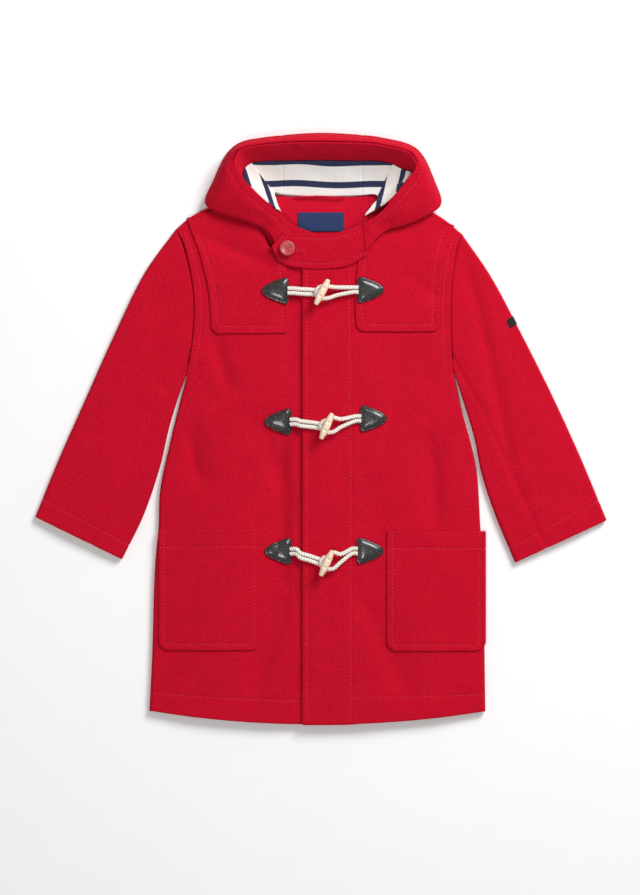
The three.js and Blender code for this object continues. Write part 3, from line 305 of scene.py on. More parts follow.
class Shader:
    """Builds one material of nodes round a Principled shader."""

    def __init__(self, name: str) -> None:
        """Makes the material and finds its shader."""
        self.material = bpy.data.materials.new(name)
        self.material.use_nodes = True
        self.tree = self.material.node_tree
        self.surface = self.tree.nodes["Principled BSDF"]

    def node(self, kind: str, settings: dict[str, Any], inputs: dict[Any, Any]) -> bpy.types.Node:
        """Adds a node.

        Args:
            kind: the node's type.
            settings: its properties, set first.
            inputs: values, sockets or expressions by the input's name or number.

        Returns:
            The node.
        """
        made = self.tree.nodes.new(kind)
        for name, setting in settings.items():
            setattr(made, name, setting)
        for key, given in inputs.items():
            self.feed(made.inputs[key], given)
        return made

    def feed(self, target: bpy.types.NodeSocket, given: Any) -> None:
        """Links or sets one input."""
        if isinstance(given, Value):
            given = given.socket
        if isinstance(given, bpy.types.NodeSocket):
            self.tree.links.new(given, target)
        else:
            target.default_value = given

    def out(self, kind: str, settings: dict[str, Any], inputs: dict[Any, Any], output: Any = 0) -> Value:
        """Adds a node and returns one of its outputs as an expression.

        Args:
            kind: the node's type.
            settings: its properties, set first.
            inputs: values, sockets or expressions by the input's name or number.
            output: name or number of the output.
        """
        return Value(self, self.node(kind, settings, inputs).outputs[output])

    def place(self, uv: bool = False) -> bpy.types.NodeSocket:
        """Returns the coordinates: the piece's own UV map, or Object coordinates in metres."""
        return self.node("ShaderNodeTexCoord", {}, {}).outputs["UV" if uv else "Object"]

    def noise(self, where: Any, scale: float, detail: float = 2.0, rough: float = 0.5) -> Value:
        """Returns noise from 0 to 1 at the coordinates.

        Args:
            where: the coordinates.
            scale: how many grains a metre holds.
            detail: how many finer layers are added.
            rough: how strong the finer layers are.
        """
        inputs = {"Vector": where, "Scale": scale, "Detail": detail, "Roughness": rough}
        return self.out("ShaderNodeTexNoise", {}, inputs)

    def parts(self, where: Any) -> tuple[Value, Value, Value]:
        """Splits coordinates into their three numbers."""
        split = self.node("ShaderNodeSeparateXYZ", {}, {"Vector": where})
        return tuple(Value(self, socket) for socket in split.outputs)

    def blend(self, share: Any, first: Any, second: Any, way: str = "MIX") -> bpy.types.NodeSocket:
        """Returns a mix of two colours, given as three numbers or as sockets.

        Args:
            share: how much of the second colour, 0 to 1.
            first: colour at 0.
            second: colour at 1.
            way: the Mix node's blend type.
        """
        colours = [(*c, 1) if isinstance(c, tuple) else c for c in (first, second)]
        settings = {"data_type": "RGBA", "blend_type": way}
        return self.node("ShaderNodeMix", settings, {0: share, 6: colours[0], 7: colours[1]}).outputs[2]

    def finish(self, colour: Any, roughness: Any, bump: Optional[Value], depth: float,
               **constants: Any) -> Material:
        """Feeds the shader.

        Args:
            colour: base colour.
            roughness: a number or an expression.
            bump: height expression, or None.
            depth: height of the bump at 1, in metres.
            constants: values of the shader's other sockets, by name with _ for a space.

        Returns:
            The material.
        """
        self.feed(self.surface.inputs["Base Color"], (*colour, 1) if isinstance(colour, tuple) else colour)
        self.feed(self.surface.inputs["Roughness"], roughness)
        if bump is not None:
            relief = self.node("ShaderNodeBump", {}, {"Height": bump, "Distance": depth, "Strength": 1.0})
            self.feed(self.surface.inputs["Normal"], relief.outputs[0])
        for name, value in constants.items():
            self.surface.inputs[name.replace("_", " ")].default_value = value
        return self.material


# Finishes


@dataclass(frozen=True)
class Wool:
    """Thick felted melton wool: a short nap, fine flecks of lighter and darker fibre, slow blotches."""

    name: str
    light: Colour
    dark: Colour
    nap: float = 0.0008

    def material(self) -> Material:
        """Builds the material."""
        shader = Shader(self.name)
        where = shader.place()
        fibre = shader.noise(where, 1500, 3.0, 0.62)
        fleck = shader.noise(where, 620, 2.0, 0.55)
        patch = shader.noise(where, 42, 3.0, 0.5)
        tone = fibre.smooth(0.32, 0.7) * 0.42 + fleck.smooth(0.32, 0.68) * 0.48
        tone = tone + patch.smooth(0.25, 0.75) * 0.1
        colour = shader.blend(tone, self.dark, self.light)
        bump = fibre * 0.5 + fleck * 0.55
        return shader.finish(colour, 1.0, bump, self.nap, Sheen_Weight=0.06, Sheen_Roughness=0.5,
                             Sheen_Tint=(1.0, 0.2, 0.25, 1), Specular_IOR_Level=0.05)


@dataclass(frozen=True)
class Jersey:
    """Knitted cotton with dark blue stripes across V, on a UV map in millimetres."""

    name: str = "striped_jersey"
    ground: Colour = (0.93, 0.91, 0.87)
    stripe: Colour = (0.022, 0.032, 0.085)
    pitch: float = 25.2
    dark_width: float = 7.4

    def material(self) -> Material:
        """Builds the material."""
        shader = Shader(self.name)
        along, across, _ = shader.parts(shader.place(uv=True))
        where = shader.place()
        stray = (shader.noise(where, 900, 1.0) - 0.5) * 0.5
        at = (across + stray).within(self.pitch)
        edge = 0.35
        mask = at.smooth(0, edge) * (1 - at.smooth(self.dark_width, self.dark_width + edge))
        column = (along * (2 * math.pi / 1.1)).wave()
        course = (across * (2 * math.pi / 1.3) + column * 0.8).wave()
        shade = shader.noise(where, 260, 2.0) * 0.5 + course * 0.1 + 0.4
        colour = shader.blend(mask, self.ground, self.stripe)
        colour = shader.blend(shade.smooth(0.2, 0.9) * 0.16, colour, (0.3, 0.28, 0.27), "MULTIPLY")
        bump = column * 0.3 + course * 0.35 + shader.noise(where, 1200, 1.0) * 0.3
        return shader.finish(colour, 0.88, bump, 0.00022, Sheen_Weight=0.12, Specular_IOR_Level=0.25)


@dataclass(frozen=True)
class Leather:
    """Black grained leather with a glossy top."""

    name: str = "black_leather"
    black: Colour = (0.012, 0.012, 0.013)

    def material(self) -> Material:
        """Builds the material."""
        shader = Shader(self.name)
        where = shader.place()
        stray = shader.noise(where, 300, 2.0)
        cells = shader.out("ShaderNodeTexVoronoi", {"feature": "DISTANCE_TO_EDGE"},
                           {"Vector": where, "Scale": 720.0})
        grain = cells.smooth(0.0, 0.16)
        fine = shader.noise(where, 1900, 3.0, 0.6)
        worn = shader.noise(where, 110, 3.0).smooth(0.45, 0.8)
        colour = shader.blend(worn * 0.3, self.black, (0.03, 0.03, 0.031))
        rough = 0.24 + stray * 0.14 + (1 - grain) * 0.12
        bump = grain * 0.75 + fine * 0.22 + stray * 0.4
        return shader.finish(colour, rough, bump, 0.0005, Coat_Weight=0.8, Coat_Roughness=0.17,
                             Specular_IOR_Level=0.8)


@dataclass(frozen=True)
class RawEdge:
    """The cut edge of the leather, left cream."""

    name: str = "leather_edge"

    def material(self) -> Material:
        """Builds the material."""
        shader = Shader(self.name)
        fibre = shader.noise(shader.place(), 1700, 3.0, 0.7)
        colour = shader.blend(fibre.smooth(0.3, 0.75), (0.42, 0.33, 0.23), (0.72, 0.62, 0.48))
        return shader.finish(colour, 0.85, fibre, 0.0003)


@dataclass(frozen=True)
class Wood:
    """Pale turned wood with a fine grain along V of a UV map in millimetres, rubbed satin."""

    name: str = "pale_wood"
    light: Colour = (0.93, 0.78, 0.60)
    dark: Colour = (0.72, 0.50, 0.31)

    def material(self) -> Material:
        """Builds the material."""
        shader = Shader(self.name)
        stretched = shader.node("ShaderNodeMapping", {},
                                {"Vector": shader.place(uv=True), "Scale": (1.6, 0.11, 1.0)})
        grain = shader.noise(stretched.outputs[0], 1.3, 4.0, 0.6)
        pores = shader.noise(stretched.outputs[0], 5.5, 2.0, 0.5)
        cloud = shader.noise(shader.place(), 70, 2.0)
        tone = grain.smooth(0.28, 0.7) * 0.55 + cloud.smooth(0.3, 0.7) * 0.3
        tone = tone + (1 - pores.smooth(0.58, 0.72)) * 0.15
        colour = shader.blend(tone, self.dark, self.light)
        return shader.finish(colour, 0.38 + grain * 0.14, grain * 0.5 + pores * 0.3, 0.00018,
                             Coat_Weight=0.12, Coat_Roughness=0.3)


@dataclass(frozen=True)
class Cotton:
    """Cream cotton yarn of a twisted cord: fine threads along U of a UV map in millimetres."""

    name: str = "cotton_cord"
    light: Colour = (0.95, 0.92, 0.86)
    dark: Colour = (0.72, 0.67, 0.58)

    def material(self) -> Material:
        """Builds the material."""
        shader = Shader(self.name)
        along, around, _ = shader.parts(shader.place(uv=True))
        fuzz = shader.noise(shader.place(), 1400, 2.0)
        thread = (around * 9.0 + along * 1.4 + fuzz * 1.5).wave() * 0.5 + 0.5
        colour = shader.blend(thread * 0.5 + fuzz * 0.5, self.dark, self.light)
        return shader.finish(colour, 0.9, thread * 0.6 + fuzz * 0.5, 0.00022, Sheen_Weight=0.1)


@dataclass(frozen=True)
class Resin:
    """Deep red resin of the button, with faint clouds under a soft gloss."""

    name: str = "red_resin"

    def material(self) -> Material:
        """Builds the material."""
        shader = Shader(self.name)
        cloud = shader.noise(shader.place(), 240, 3.0)
        scuff = shader.noise(shader.place(), 1300, 2.0)
        colour = shader.blend(cloud.smooth(0.3, 0.7), (0.40, 0.032, 0.040), (0.52, 0.062, 0.068))
        return shader.finish(colour, 0.33 + scuff * 0.2, scuff, 0.00006, Coat_Weight=0.2,
                             Coat_Roughness=0.25)


@dataclass(frozen=True)
class Woven:
    """Fine woven ribbon, plain: a satin weave on a UV map in millimetres."""

    name: str
    colour: Colour
    thread: Colour

    def material(self) -> Material:
        """Builds the material."""
        shader = Shader(self.name)
        along, across, _ = shader.parts(shader.place(uv=True))
        warp = (along * (2 * math.pi / 0.5)).wave()
        weft = (across * (2 * math.pi / 0.42)).wave()
        weave = warp * weft * 0.5 + 0.5
        colour = shader.blend(weave * 0.5, self.colour, self.thread)
        return shader.finish(colour, 0.7, weave, 0.0001, Sheen_Weight=0.03, Specular_IOR_Level=0.2)


@dataclass(frozen=True)
class Thread:
    """Sewing thread, one plain colour with a faint twist."""

    name: str
    colour: Colour

    def material(self) -> Material:
        """Builds the material."""
        shader = Shader(self.name)
        twist = shader.noise(shader.place(), 2400, 1.0)
        light = tuple(min(1.0, c * 1.5 + 0.01) for c in self.colour)
        return shader.finish(shader.blend(twist, self.colour, light), 0.6, twist, 0.00008)


MADE: dict[str, Material] = {}


class Finish(Enum):
    """The finishes of the coat, with the record's material slot of each."""

    WOOL = ("wool", Wool("red_wool", (0.66, 0.0068, 0.030), (0.38, 0.003, 0.014)))
    # The same red wool, painted lighter all over to lift the shade that falls inside the hood, under the
    # crown and round the neck
    INSIDE = ("facing_wool", Wool("inside_red_wool", (0.68, 0.009, 0.034), (0.44, 0.004, 0.018)))
    JERSEY = ("jersey", Jersey())
    LEATHER = ("leather", Leather())
    EDGE = ("leather", RawEdge())
    WOOD = ("wood", Wood())
    CORD = ("cord", Cotton())
    BUTTON = ("button", Resin())
    LABEL = ("label_cloth", Woven("label_ribbon", (0.018, 0.035, 0.11), (0.03, 0.055, 0.16)))
    TAG = ("tag_cloth", Woven("tag_ribbon", (0.010, 0.010, 0.012), (0.03, 0.03, 0.034)))
    SEWING = ("wool", Thread("red_thread", (0.52, 0.020, 0.040)))
    DARK_SEWING = ("leather", Thread("black_thread", (0.012, 0.012, 0.013)))

    @property
    def material(self) -> Material:
        """The built material, made on first use."""
        if self.name not in MADE:
            MADE[self.name] = self.value[1].material()
        return MADE[self.name]

    def dress(self, piece: Piece, *others: "Finish") -> Piece:
        """Gives a piece this finish, and others for its further material indices."""
        piece.data.materials.clear()
        for finish in (self, *others):
            piece.data.materials.append(finish.material)
        return piece


# Mesh makers


def piece_from(name: str, points: Array, faces: Sequence[Sequence[int]], finish: Finish, *nodes: str,
               uv: Optional[Array] = None, seconds: Optional[Array] = None, other: Optional[Finish] = None
               ) -> Piece:
    """Makes a smooth mesh piece that rides on the root body.

    Args:
        name: name of the piece.
        points: its points, in the coat's millimetres.
        faces: indices of each face.
        finish: its finish.
        nodes: the CAD nodes that it replaces.
        uv: a UV point for each corner of each face, in order, or for each point.
        seconds: true for each face that takes the other finish.
        other: the other finish.

    Returns:
        The piece.
    """
    mesh = bpy.data.meshes.new(name)
    mesh.from_pydata(Placing.metres(points).tolist(), [], [list(map(int, f)) for f in faces])
    mesh.polygons.foreach_set("use_smooth", [True] * len(mesh.polygons))
    if uv is not None:
        layer = mesh.uv_layers.new(name="UVMap")
        if len(uv) == len(mesh.vertices):
            corner = np.empty(len(mesh.loops), int)
            mesh.loops.foreach_get("vertex_index", corner)
            uv = np.asarray(uv)[corner]
        layer.data.foreach_set("uv", np.asarray(uv, np.float32).ravel())
    if seconds is not None:
        mesh.polygons.foreach_set("material_index", np.asarray(seconds, np.int32))
    mesh.update()
    piece = bpy.data.objects.new(name, mesh)
    bpy.context.scene.collection.objects.link(piece)
    finish.dress(piece, *([other] if other else []))
    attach(piece, ROOT)
    if nodes:
        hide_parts(*nodes)
    return piece


def bands(rings: int, sides: int, start: int = 0) -> list[list[int]]:
    """Returns the faces between rings of corners that follow each other from start on."""
    rows, ring = start + np.arange(rings - 1)[:, None] * sides, np.arange(sides)
    a, b = rows + ring, rows + (ring + 1) % sides
    return np.stack([a, a + sides, b + sides, b], axis=-1).reshape(-1, 4).tolist()


@dataclass
class Shell:
    """A wall of cloth: a surface for its outer face, its rows and columns, and rounded edges."""

    surface: Surface
    us: Sequence[float]
    vs: Sequence[float]
    thickness: Union[float, Callable[[Array, Array], Array]]
    facing: float = 1
    relief: Optional[Callable[[Array, Array, Array], Array]] = None
    round_edge: float = 0.85

    RIM_ANGLES = (45.0, 90.0, 135.0)

    def _faces(self) -> Array:
        """Returns the faces of one layer, as corner indices."""
        nu, nv = len(self.us), len(self.vs)
        j, i = np.meshgrid(np.arange(nv - 1), np.arange(nu - 1), indexing="ij")
        a = (j * nu + i).ravel()
        return np.stack([a, a + 1, a + 1 + nu, a + nu], axis=-1)

    def _rim(self) -> Array:
        """Returns the indices round the edge of one layer, anticlockwise."""
        nu, nv = len(self.us), len(self.vs)
        ids = np.arange(nu * nv).reshape(nv, nu)
        return np.concatenate([ids[0, :], ids[1:, -1], ids[-1, -2::-1], ids[-2:0:-1, 0]])

    def build(self, name: str, finish: Finish, *nodes: str, uv: Optional[Callable[..., Array]] = None,
              ) -> Piece:
        """Builds the wall.

        Args:
            name: name of the piece.
            finish: its finish.
            nodes: the CAD nodes that it replaces.
            uv: gives UV points for grid values u, v, points and the u of each corner's face.

        Returns:
            The piece.
        """
        u, v = np.meshgrid(np.array(self.us, float), np.array(self.vs, float))
        face = self.surface(u, v)
        n = normals(self.surface, u, v, self.facing)
        varies = callable(self.thickness)
        thick = self.thickness(u, v) if varies else np.full(u.shape, float(self.thickness))
        top = face + n * (self.relief(u, v, face)[..., None] if self.relief else 0)
        low = face - n * thick[..., None]
        out = np.zeros_like(face)
        out[0] += face[0] - face[1]
        out[-1] += face[-1] - face[-2]
        out[:, 0] += face[:, 0] - face[:, 1]
        out[:, -1] += face[:, -1] - face[:, -2]
        out -= n * (out * n).sum(-1, keepdims=True)
        out /= np.linalg.norm(out, axis=-1, keepdims=True) + 1e-12
        rim = self._rim()
        size = u.size
        flat = [layer.reshape(-1, 3) for layer in (top, low, out)]
        middle, half = (flat[0][rim] + flat[1][rim]) / 2, (flat[0][rim] - flat[1][rim]) / 2
        reach = np.linalg.norm(half, axis=-1, keepdims=True) * self.round_edge
        turns = [math.radians(a) for a in self.RIM_ANGLES]
        rings = [middle + half * math.cos(turn) + flat[2][rim] * reach * math.sin(turn) for turn in turns]
        points = np.concatenate([flat[0], flat[1], *rings])
        quads = self._faces()
        between = [2 * size + k * len(rim) + np.arange(len(rim)) for k in range(len(rings))]
        layers = [rim, *between, size + rim]
        walls = [np.stack([a, b, np.roll(b, -1), np.roll(a, -1)], axis=-1)
                 for a, b in zip(layers, layers[1:])]
        faces = np.concatenate([quads, (quads + size)[:, ::-1], *walls])
        if self.facing < 0:
            faces = faces[:, ::-1]
        corners = None
        if uv:
            grid = [g.reshape(-1) for g in (u, v)]
            source = np.concatenate([np.arange(size), np.arange(size), *[rim] * len(rings)])
            near = source[faces]
            middle_u = grid[0][near].mean(axis=1, keepdims=True) + np.zeros(near.shape)
            corners = uv(grid[0][near], grid[1][near], face.reshape(-1, 3)[near], middle_u).reshape(-1, 2)
        return piece_from(name, points, faces, finish, *nodes, uv=corners)


@dataclass
class Plate:
    """What is sewn flat on the coat: a patch of plan, over the cloth that carries it."""

    plan: Callable[[Array, Array], tuple[Array, Array]]
    carrier: Height
    columns: Sequence[float]
    rows: Sequence[float]
    thickness: float = 2.0
    gap: float = 0.5
    lines: Sequence[SewnLine] = ()
    thread_lift: float = 0.2

    def on_cloth(self, s: Array, t: Array) -> Array:
        """Returns points of the patch on its carrier."""
        x, y = self.plan(s, t)
        return np.stack([x, y, self.carrier(x, y)], axis=-1)

    def facing(self) -> float:
        """Returns 1 or -1, the side that faces up."""
        middle = np.array([[0.5]])
        return 1.0 if normals(self.on_cloth, middle, middle, 1)[0, 0, 2] > 0 else -1.0

    def top(self) -> Surface:
        """Returns the upper face."""
        return moved_out(self.on_cloth, self.gap + self.thickness, self.facing())

    def build(self, name: str, finish: Finish, *nodes: str, **options: Any) -> Piece:
        """Builds the plate with the grooves of its sewn lines.

        Args:
            name: name of the piece.
            finish: its finish.
            nodes: the CAD nodes that it replaces.
            options: passed on to the shell.

        Returns:
            The piece.
        """
        def relief(u: Array, v: Array, p: Array) -> Array:
            """Returns the grooves of the rows that are sewn over it."""
            return sum(line.groove(p[..., 0], p[..., 1]) for line in self.lines)

        shell = Shell(self.top(), self.columns, self.rows, self.thickness, self.facing(),
                      relief if self.lines else None)
        return shell.build(name, finish, *nodes, **options)

    def stitch(self, sewing: "Sewing") -> None:
        """Lays the stitches of its sewn lines."""
        for line in self.lines:
            p = line.even()
            z = self.carrier(p[:, 0], p[:, 1]) + self.gap + self.thickness + line.groove(p[:, 0], p[:, 1])
            sewing.add(np.column_stack([p, z + self.thread_lift]))


def run_along(line: Array) -> Array:
    """Returns the length of a line of points up to each of them."""
    return np.concatenate([[0], np.cumsum(np.linalg.norm(np.diff(line, axis=0), axis=1))])


@dataclass
class Rope:
    """A cord of twisted strands along a smooth path."""

    path: Array
    radius: float
    strands: int = 3
    turn: float = 9.0
    sides: int = 7
    spacing: float = 0.75

    def _smooth(self) -> Array:
        """Returns even points on a smooth curve through the path."""
        given = np.array(self.path, float)
        run = run_along(given)
        at = np.linspace(0, run[-1], max(8, int(run[-1] / self.spacing)))
        return np.stack([Curve(run, given[:, k])(at) for k in range(3)], axis=-1)

    def build(self, name: str, *nodes: str) -> Piece:
        """Builds the strands as closed tubes of one piece.

        Args:
            name: the piece's name.
            nodes: the solids that it replaces.

        Returns:
            The piece.
        """
        centre = self._smooth()
        ahead = np.gradient(centre, axis=0)
        ahead /= np.linalg.norm(ahead, axis=1, keepdims=True)
        side = np.zeros_like(ahead)
        last = np.cross(ahead[0], [0.0, 0.0, 1.0])
        if np.linalg.norm(last) < 0.1:
            last = np.array([1.0, 0.0, 0.0])
        for i, direction in enumerate(ahead):
            last = last - direction * last.dot(direction)
            last = last / np.linalg.norm(last)
            side[i] = last
        up = np.cross(ahead, side)
        run = run_along(centre)
        thick = self.radius * 0.56
        offset = self.radius - thick
        points, faces, uv = [], [], []
        ring = np.arange(self.sides)
        for k in range(self.strands):
            phase = 2 * math.pi * (k / self.strands + run / self.turn)
            line = centre + offset * (np.cos(phase)[:, None] * side + np.sin(phase)[:, None] * up)
            start = sum(len(p) for p in points)
            angles = 2 * math.pi * ring / self.sides
            tube = line[:, None] + thick * (np.cos(angles)[None, :, None] * side[:, None]
                                            + np.sin(angles)[None, :, None] * up[:, None])
            points.append(tube.reshape(-1, 3))
            lengths = np.repeat(run, self.sides)
            uv.append(np.stack([lengths, np.tile(angles / math.pi, len(run))], axis=-1))
            faces += bands(len(run), self.sides, start)
            faces.append(list(start + ring))
            faces.append(list(start + (len(run) - 1) * self.sides + ring[::-1]))
        return piece_from(name, np.concatenate(points), faces, Finish.CORD, *nodes, uv=np.concatenate(uv))


class Sewing:
    """Rows of machine stitches, laid along lines by a node tree and kept as one plain mesh."""

    def __init__(self, name: str, finish: Finish, pitch: float, length: float, radius: float) -> None:
        """Keeps the thread and its sizes.

        Args:
            name: name of the piece.
            finish: the thread.
            pitch: distance from stitch to stitch.
            length: length of a stitch.
            radius: half the thread's thickness.
        """
        self.name, self.finish = name, finish
        self.sizes = {"Pitch": pitch, "Stitch length": length, "Thread radius": radius, "Unevenness": 0.12}
        self.lines: list[Array] = []

    def add(self, points: Array) -> None:
        """Adds a row of stitches along points, in the coat's millimetres."""
        self.lines.append(np.asarray(points, float))

    def _tree(self) -> bpy.types.NodeTree:
        """Builds the node tree: even places along each line, a stretched bead at each.

        Returns:
            The tree, with this row's sizes as its inputs.
        """
        tree = bpy.data.node_groups.new(self.name, "GeometryNodeTree")
        face = tree.interface
        face.new_socket("Geometry", in_out="INPUT", socket_type="NodeSocketGeometry")
        for label in self.sizes:
            face.new_socket(label, in_out="INPUT", socket_type="NodeSocketFloat")
        face.new_socket("Geometry", in_out="OUTPUT", socket_type="NodeSocketGeometry")
        add = tree.nodes.new
        given, result = add("NodeGroupInput"), add("NodeGroupOutput")
        curve, spots = add("GeometryNodeMeshToCurve"), add("GeometryNodeCurveToPoints")
        bead, stretch = add("GeometryNodeMeshUVSphere"), add("GeometryNodeTransform")
        size = add("ShaderNodeCombineXYZ")
        place, real, smooth = (add("GeometryNodeInstanceOnPoints"), add("GeometryNodeRealizeInstances"),
                               add("GeometryNodeSetShadeSmooth"))
        paint, uneven = add("GeometryNodeSetMaterial"), add("FunctionNodeRandomValue")
        low = add("ShaderNodeMath")
        spots.mode = "LENGTH"
        bead.inputs["Segments"].default_value, bead.inputs["Rings"].default_value = 6, 5
        bead.inputs["Radius"].default_value = 1.0
        uneven.data_type = "FLOAT"
        uneven.inputs["Seed"].default_value = 7
        low.operation = "SUBTRACT"
        low.inputs[0].default_value = 1.0
        paint.inputs["Material"].default_value = self.finish.material
        half = add("ShaderNodeMath")
        half.operation = "MULTIPLY"
        half.inputs[1].default_value = 0.5
        joints = (
            (given, "Geometry", curve, 0), (curve, 0, spots, "Curve"), (given, "Pitch", spots, "Length"),
            (given, "Stitch length", half, 0), (given, "Thread radius", size, "X"),
            (given, "Thread radius", size, "Y"), (half, 0, size, "Z"), (bead, "Mesh", stretch, "Geometry"),
            (size, 0, stretch, "Scale"), (stretch, 0, place, "Instance"),
            (spots, "Points", place, "Points"), (spots, "Rotation", place, "Rotation"),
            (given, "Unevenness", low, 1), (place, 0, real, 0), (real, 0, smooth, "Geometry"),
            (smooth, 0, paint, "Geometry"), (paint, 0, result, 0))
        for source, output, target, entry in joints:
            tree.links.new(source.outputs[output], target.inputs[entry])
        scales = [socket for socket in uneven.inputs if socket.type == "VALUE" and socket.enabled]
        drawn = [socket for socket in uneven.outputs if socket.type == "VALUE" and socket.enabled]
        scales[1].default_value = 1.0
        tree.links.new(low.outputs[0], scales[0])
        tree.links.new(drawn[0], place.inputs["Scale"])
        return tree

    def build(self) -> Piece:
        """Lays the stitches and returns them as one plain mesh piece."""
        points, edges, start = [], [], 0
        for line in self.lines:
            points.append(line)
            edges += [(start + i, start + i + 1) for i in range(len(line) - 1)]
            start += len(line)
        mesh = bpy.data.meshes.new(self.name + "_lines")
        mesh.from_pydata(Placing.metres(np.concatenate(points)).tolist(), edges, [])
        lines = bpy.data.objects.new(self.name + "_lines", mesh)
        bpy.context.scene.collection.objects.link(lines)
        modifier = lines.modifiers.new("stitches", "NODES")
        modifier.node_group = self._tree()
        for item in modifier.node_group.interface.items_tree:
            if item.in_out == "INPUT" and item.name in self.sizes:
                scale = 1.0 if item.name == "Unevenness" else 0.001
                modifier[item.identifier] = self.sizes[item.name] * scale
        seen = lines.evaluated_get(bpy.context.evaluated_depsgraph_get())
        plain = bpy.data.meshes.new_from_object(seen)
        bpy.data.objects.remove(lines)
        piece = bpy.data.objects.new(self.name, plain)
        bpy.context.scene.collection.objects.link(piece)
        self.finish.dress(piece)
        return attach(piece, ROOT)


# The coat


@dataclass(frozen=True)
class Cloth:
    """Thicknesses and gaps shared by all pieces, in millimetres."""

    wool: float = 2.2
    seam: float = 0.3
    jersey: float = 1.2
    facing: float = 1.8
    side_roll: float = 4.85
    edge_height: float = 10.0
    stitch_lift: float = -0.12


CLOTH = Cloth()
HEM_MIDDLE = -3.0


@dataclass
class Half:
    """Outline of one half of the body: side, armhole, neck line and shoulder."""

    side: Table
    armhole: Table
    neck: Table
    shoulder: Curve
    free_edge: float
    out: float = field(init=False)
    side_by_y: Curve = field(init=False)
    tip_lean: float = field(init=False)

    def __post_init__(self) -> None:
        """Works out which way is out, the side by height and the lean at the shoulder's tip."""
        self.out = float(np.sign(self.side.rows[0, 1]))
        self.side_by_y = Curve(self.side.rows[:, 2], self.side.rows[:, 1])
        before, last = self.armhole.rows[-2], self.armhole.rows[-1]
        self.tip_lean = CLOTH.side_roll * (last[1] - before[1]) / (last[2] - before[2])


RIGHT = Half(
    Table("x y", [
        [0, -207, -339], [0.12, -203.5, -268], [0.26, -200.5, -170], [0.34, -196, -119],
        [0.41, -194, -74], [0.51, -180.5, -11], [0.57, -171, 28], [0.62, -160.5, 68]]),
    Table("x y", [
        [0, -160.5, 68], [0.1, -157, 85], [0.27, -153, 112], [0.44, -151.5, 142],
        [0.6, -153, 169], [0.76, -158, 197], [0.91, -167, 224], [1, -173.5, 240]]),
    Table("x y", [
        [0, 37, 192.5], [0.16, 3, 191.5], [0.3, -24, 193], [0.42, -43, 196], [0.5, -54, 202],
        [0.6, -62, 214], [0.72, -69, 230], [0.85, -76, 252], [0.93, -79.5, 268], [1, -80, 283]]),
    Curve([-173.5, -160, -141, -110, -80], [240, 252, 262.5, 274, 283]),
    37.0,
)
LEFT = Half(
    Table("x y", [
        [0, 197, -340], [0.12, 196, -268], [0.26, 195, -170], [0.34, 191, -119],
        [0.41, 187.5, -60], [0.49, 180, -20], [0.56, 168.5, 22], [0.62, 157.5, 71]]),
    Table("x y", [
        [0, 157.5, 71], [0.1, 155.8, 87], [0.27, 154.5, 112], [0.44, 154, 142],
        [0.6, 155, 169], [0.76, 158, 195], [0.91, 163, 219], [1, 167.5, 234]]),
    Table("x y", [
        [0, -22, 193], [0.2, 3, 192], [0.38, 32, 196], [0.5, 48, 206], [0.6, 58, 218],
        [0.74, 68, 234], [0.86, 75, 252], [0.94, 77.5, 268], [1, 78, 282]]),
    Curve([78, 108, 136, 154, 167.5], [282, 271, 258, 246, 234]),
    -22.0,
)


def turn_drop(inside: Array) -> Array:
    """Returns how far a face has turned down over a folded edge, this far inside the edge."""
    roll = CLOTH.side_roll
    return np.where(inside >= roll, 0, roll - np.sqrt(np.maximum(0, roll**2 - (roll - inside) ** 2)))


def hem_y(x: Array) -> Array:
    """Returns the hem's height on the plan; it curves up towards the sides."""
    return -355 + 16 * ((x - HEM_MIDDLE) / 202) ** 2


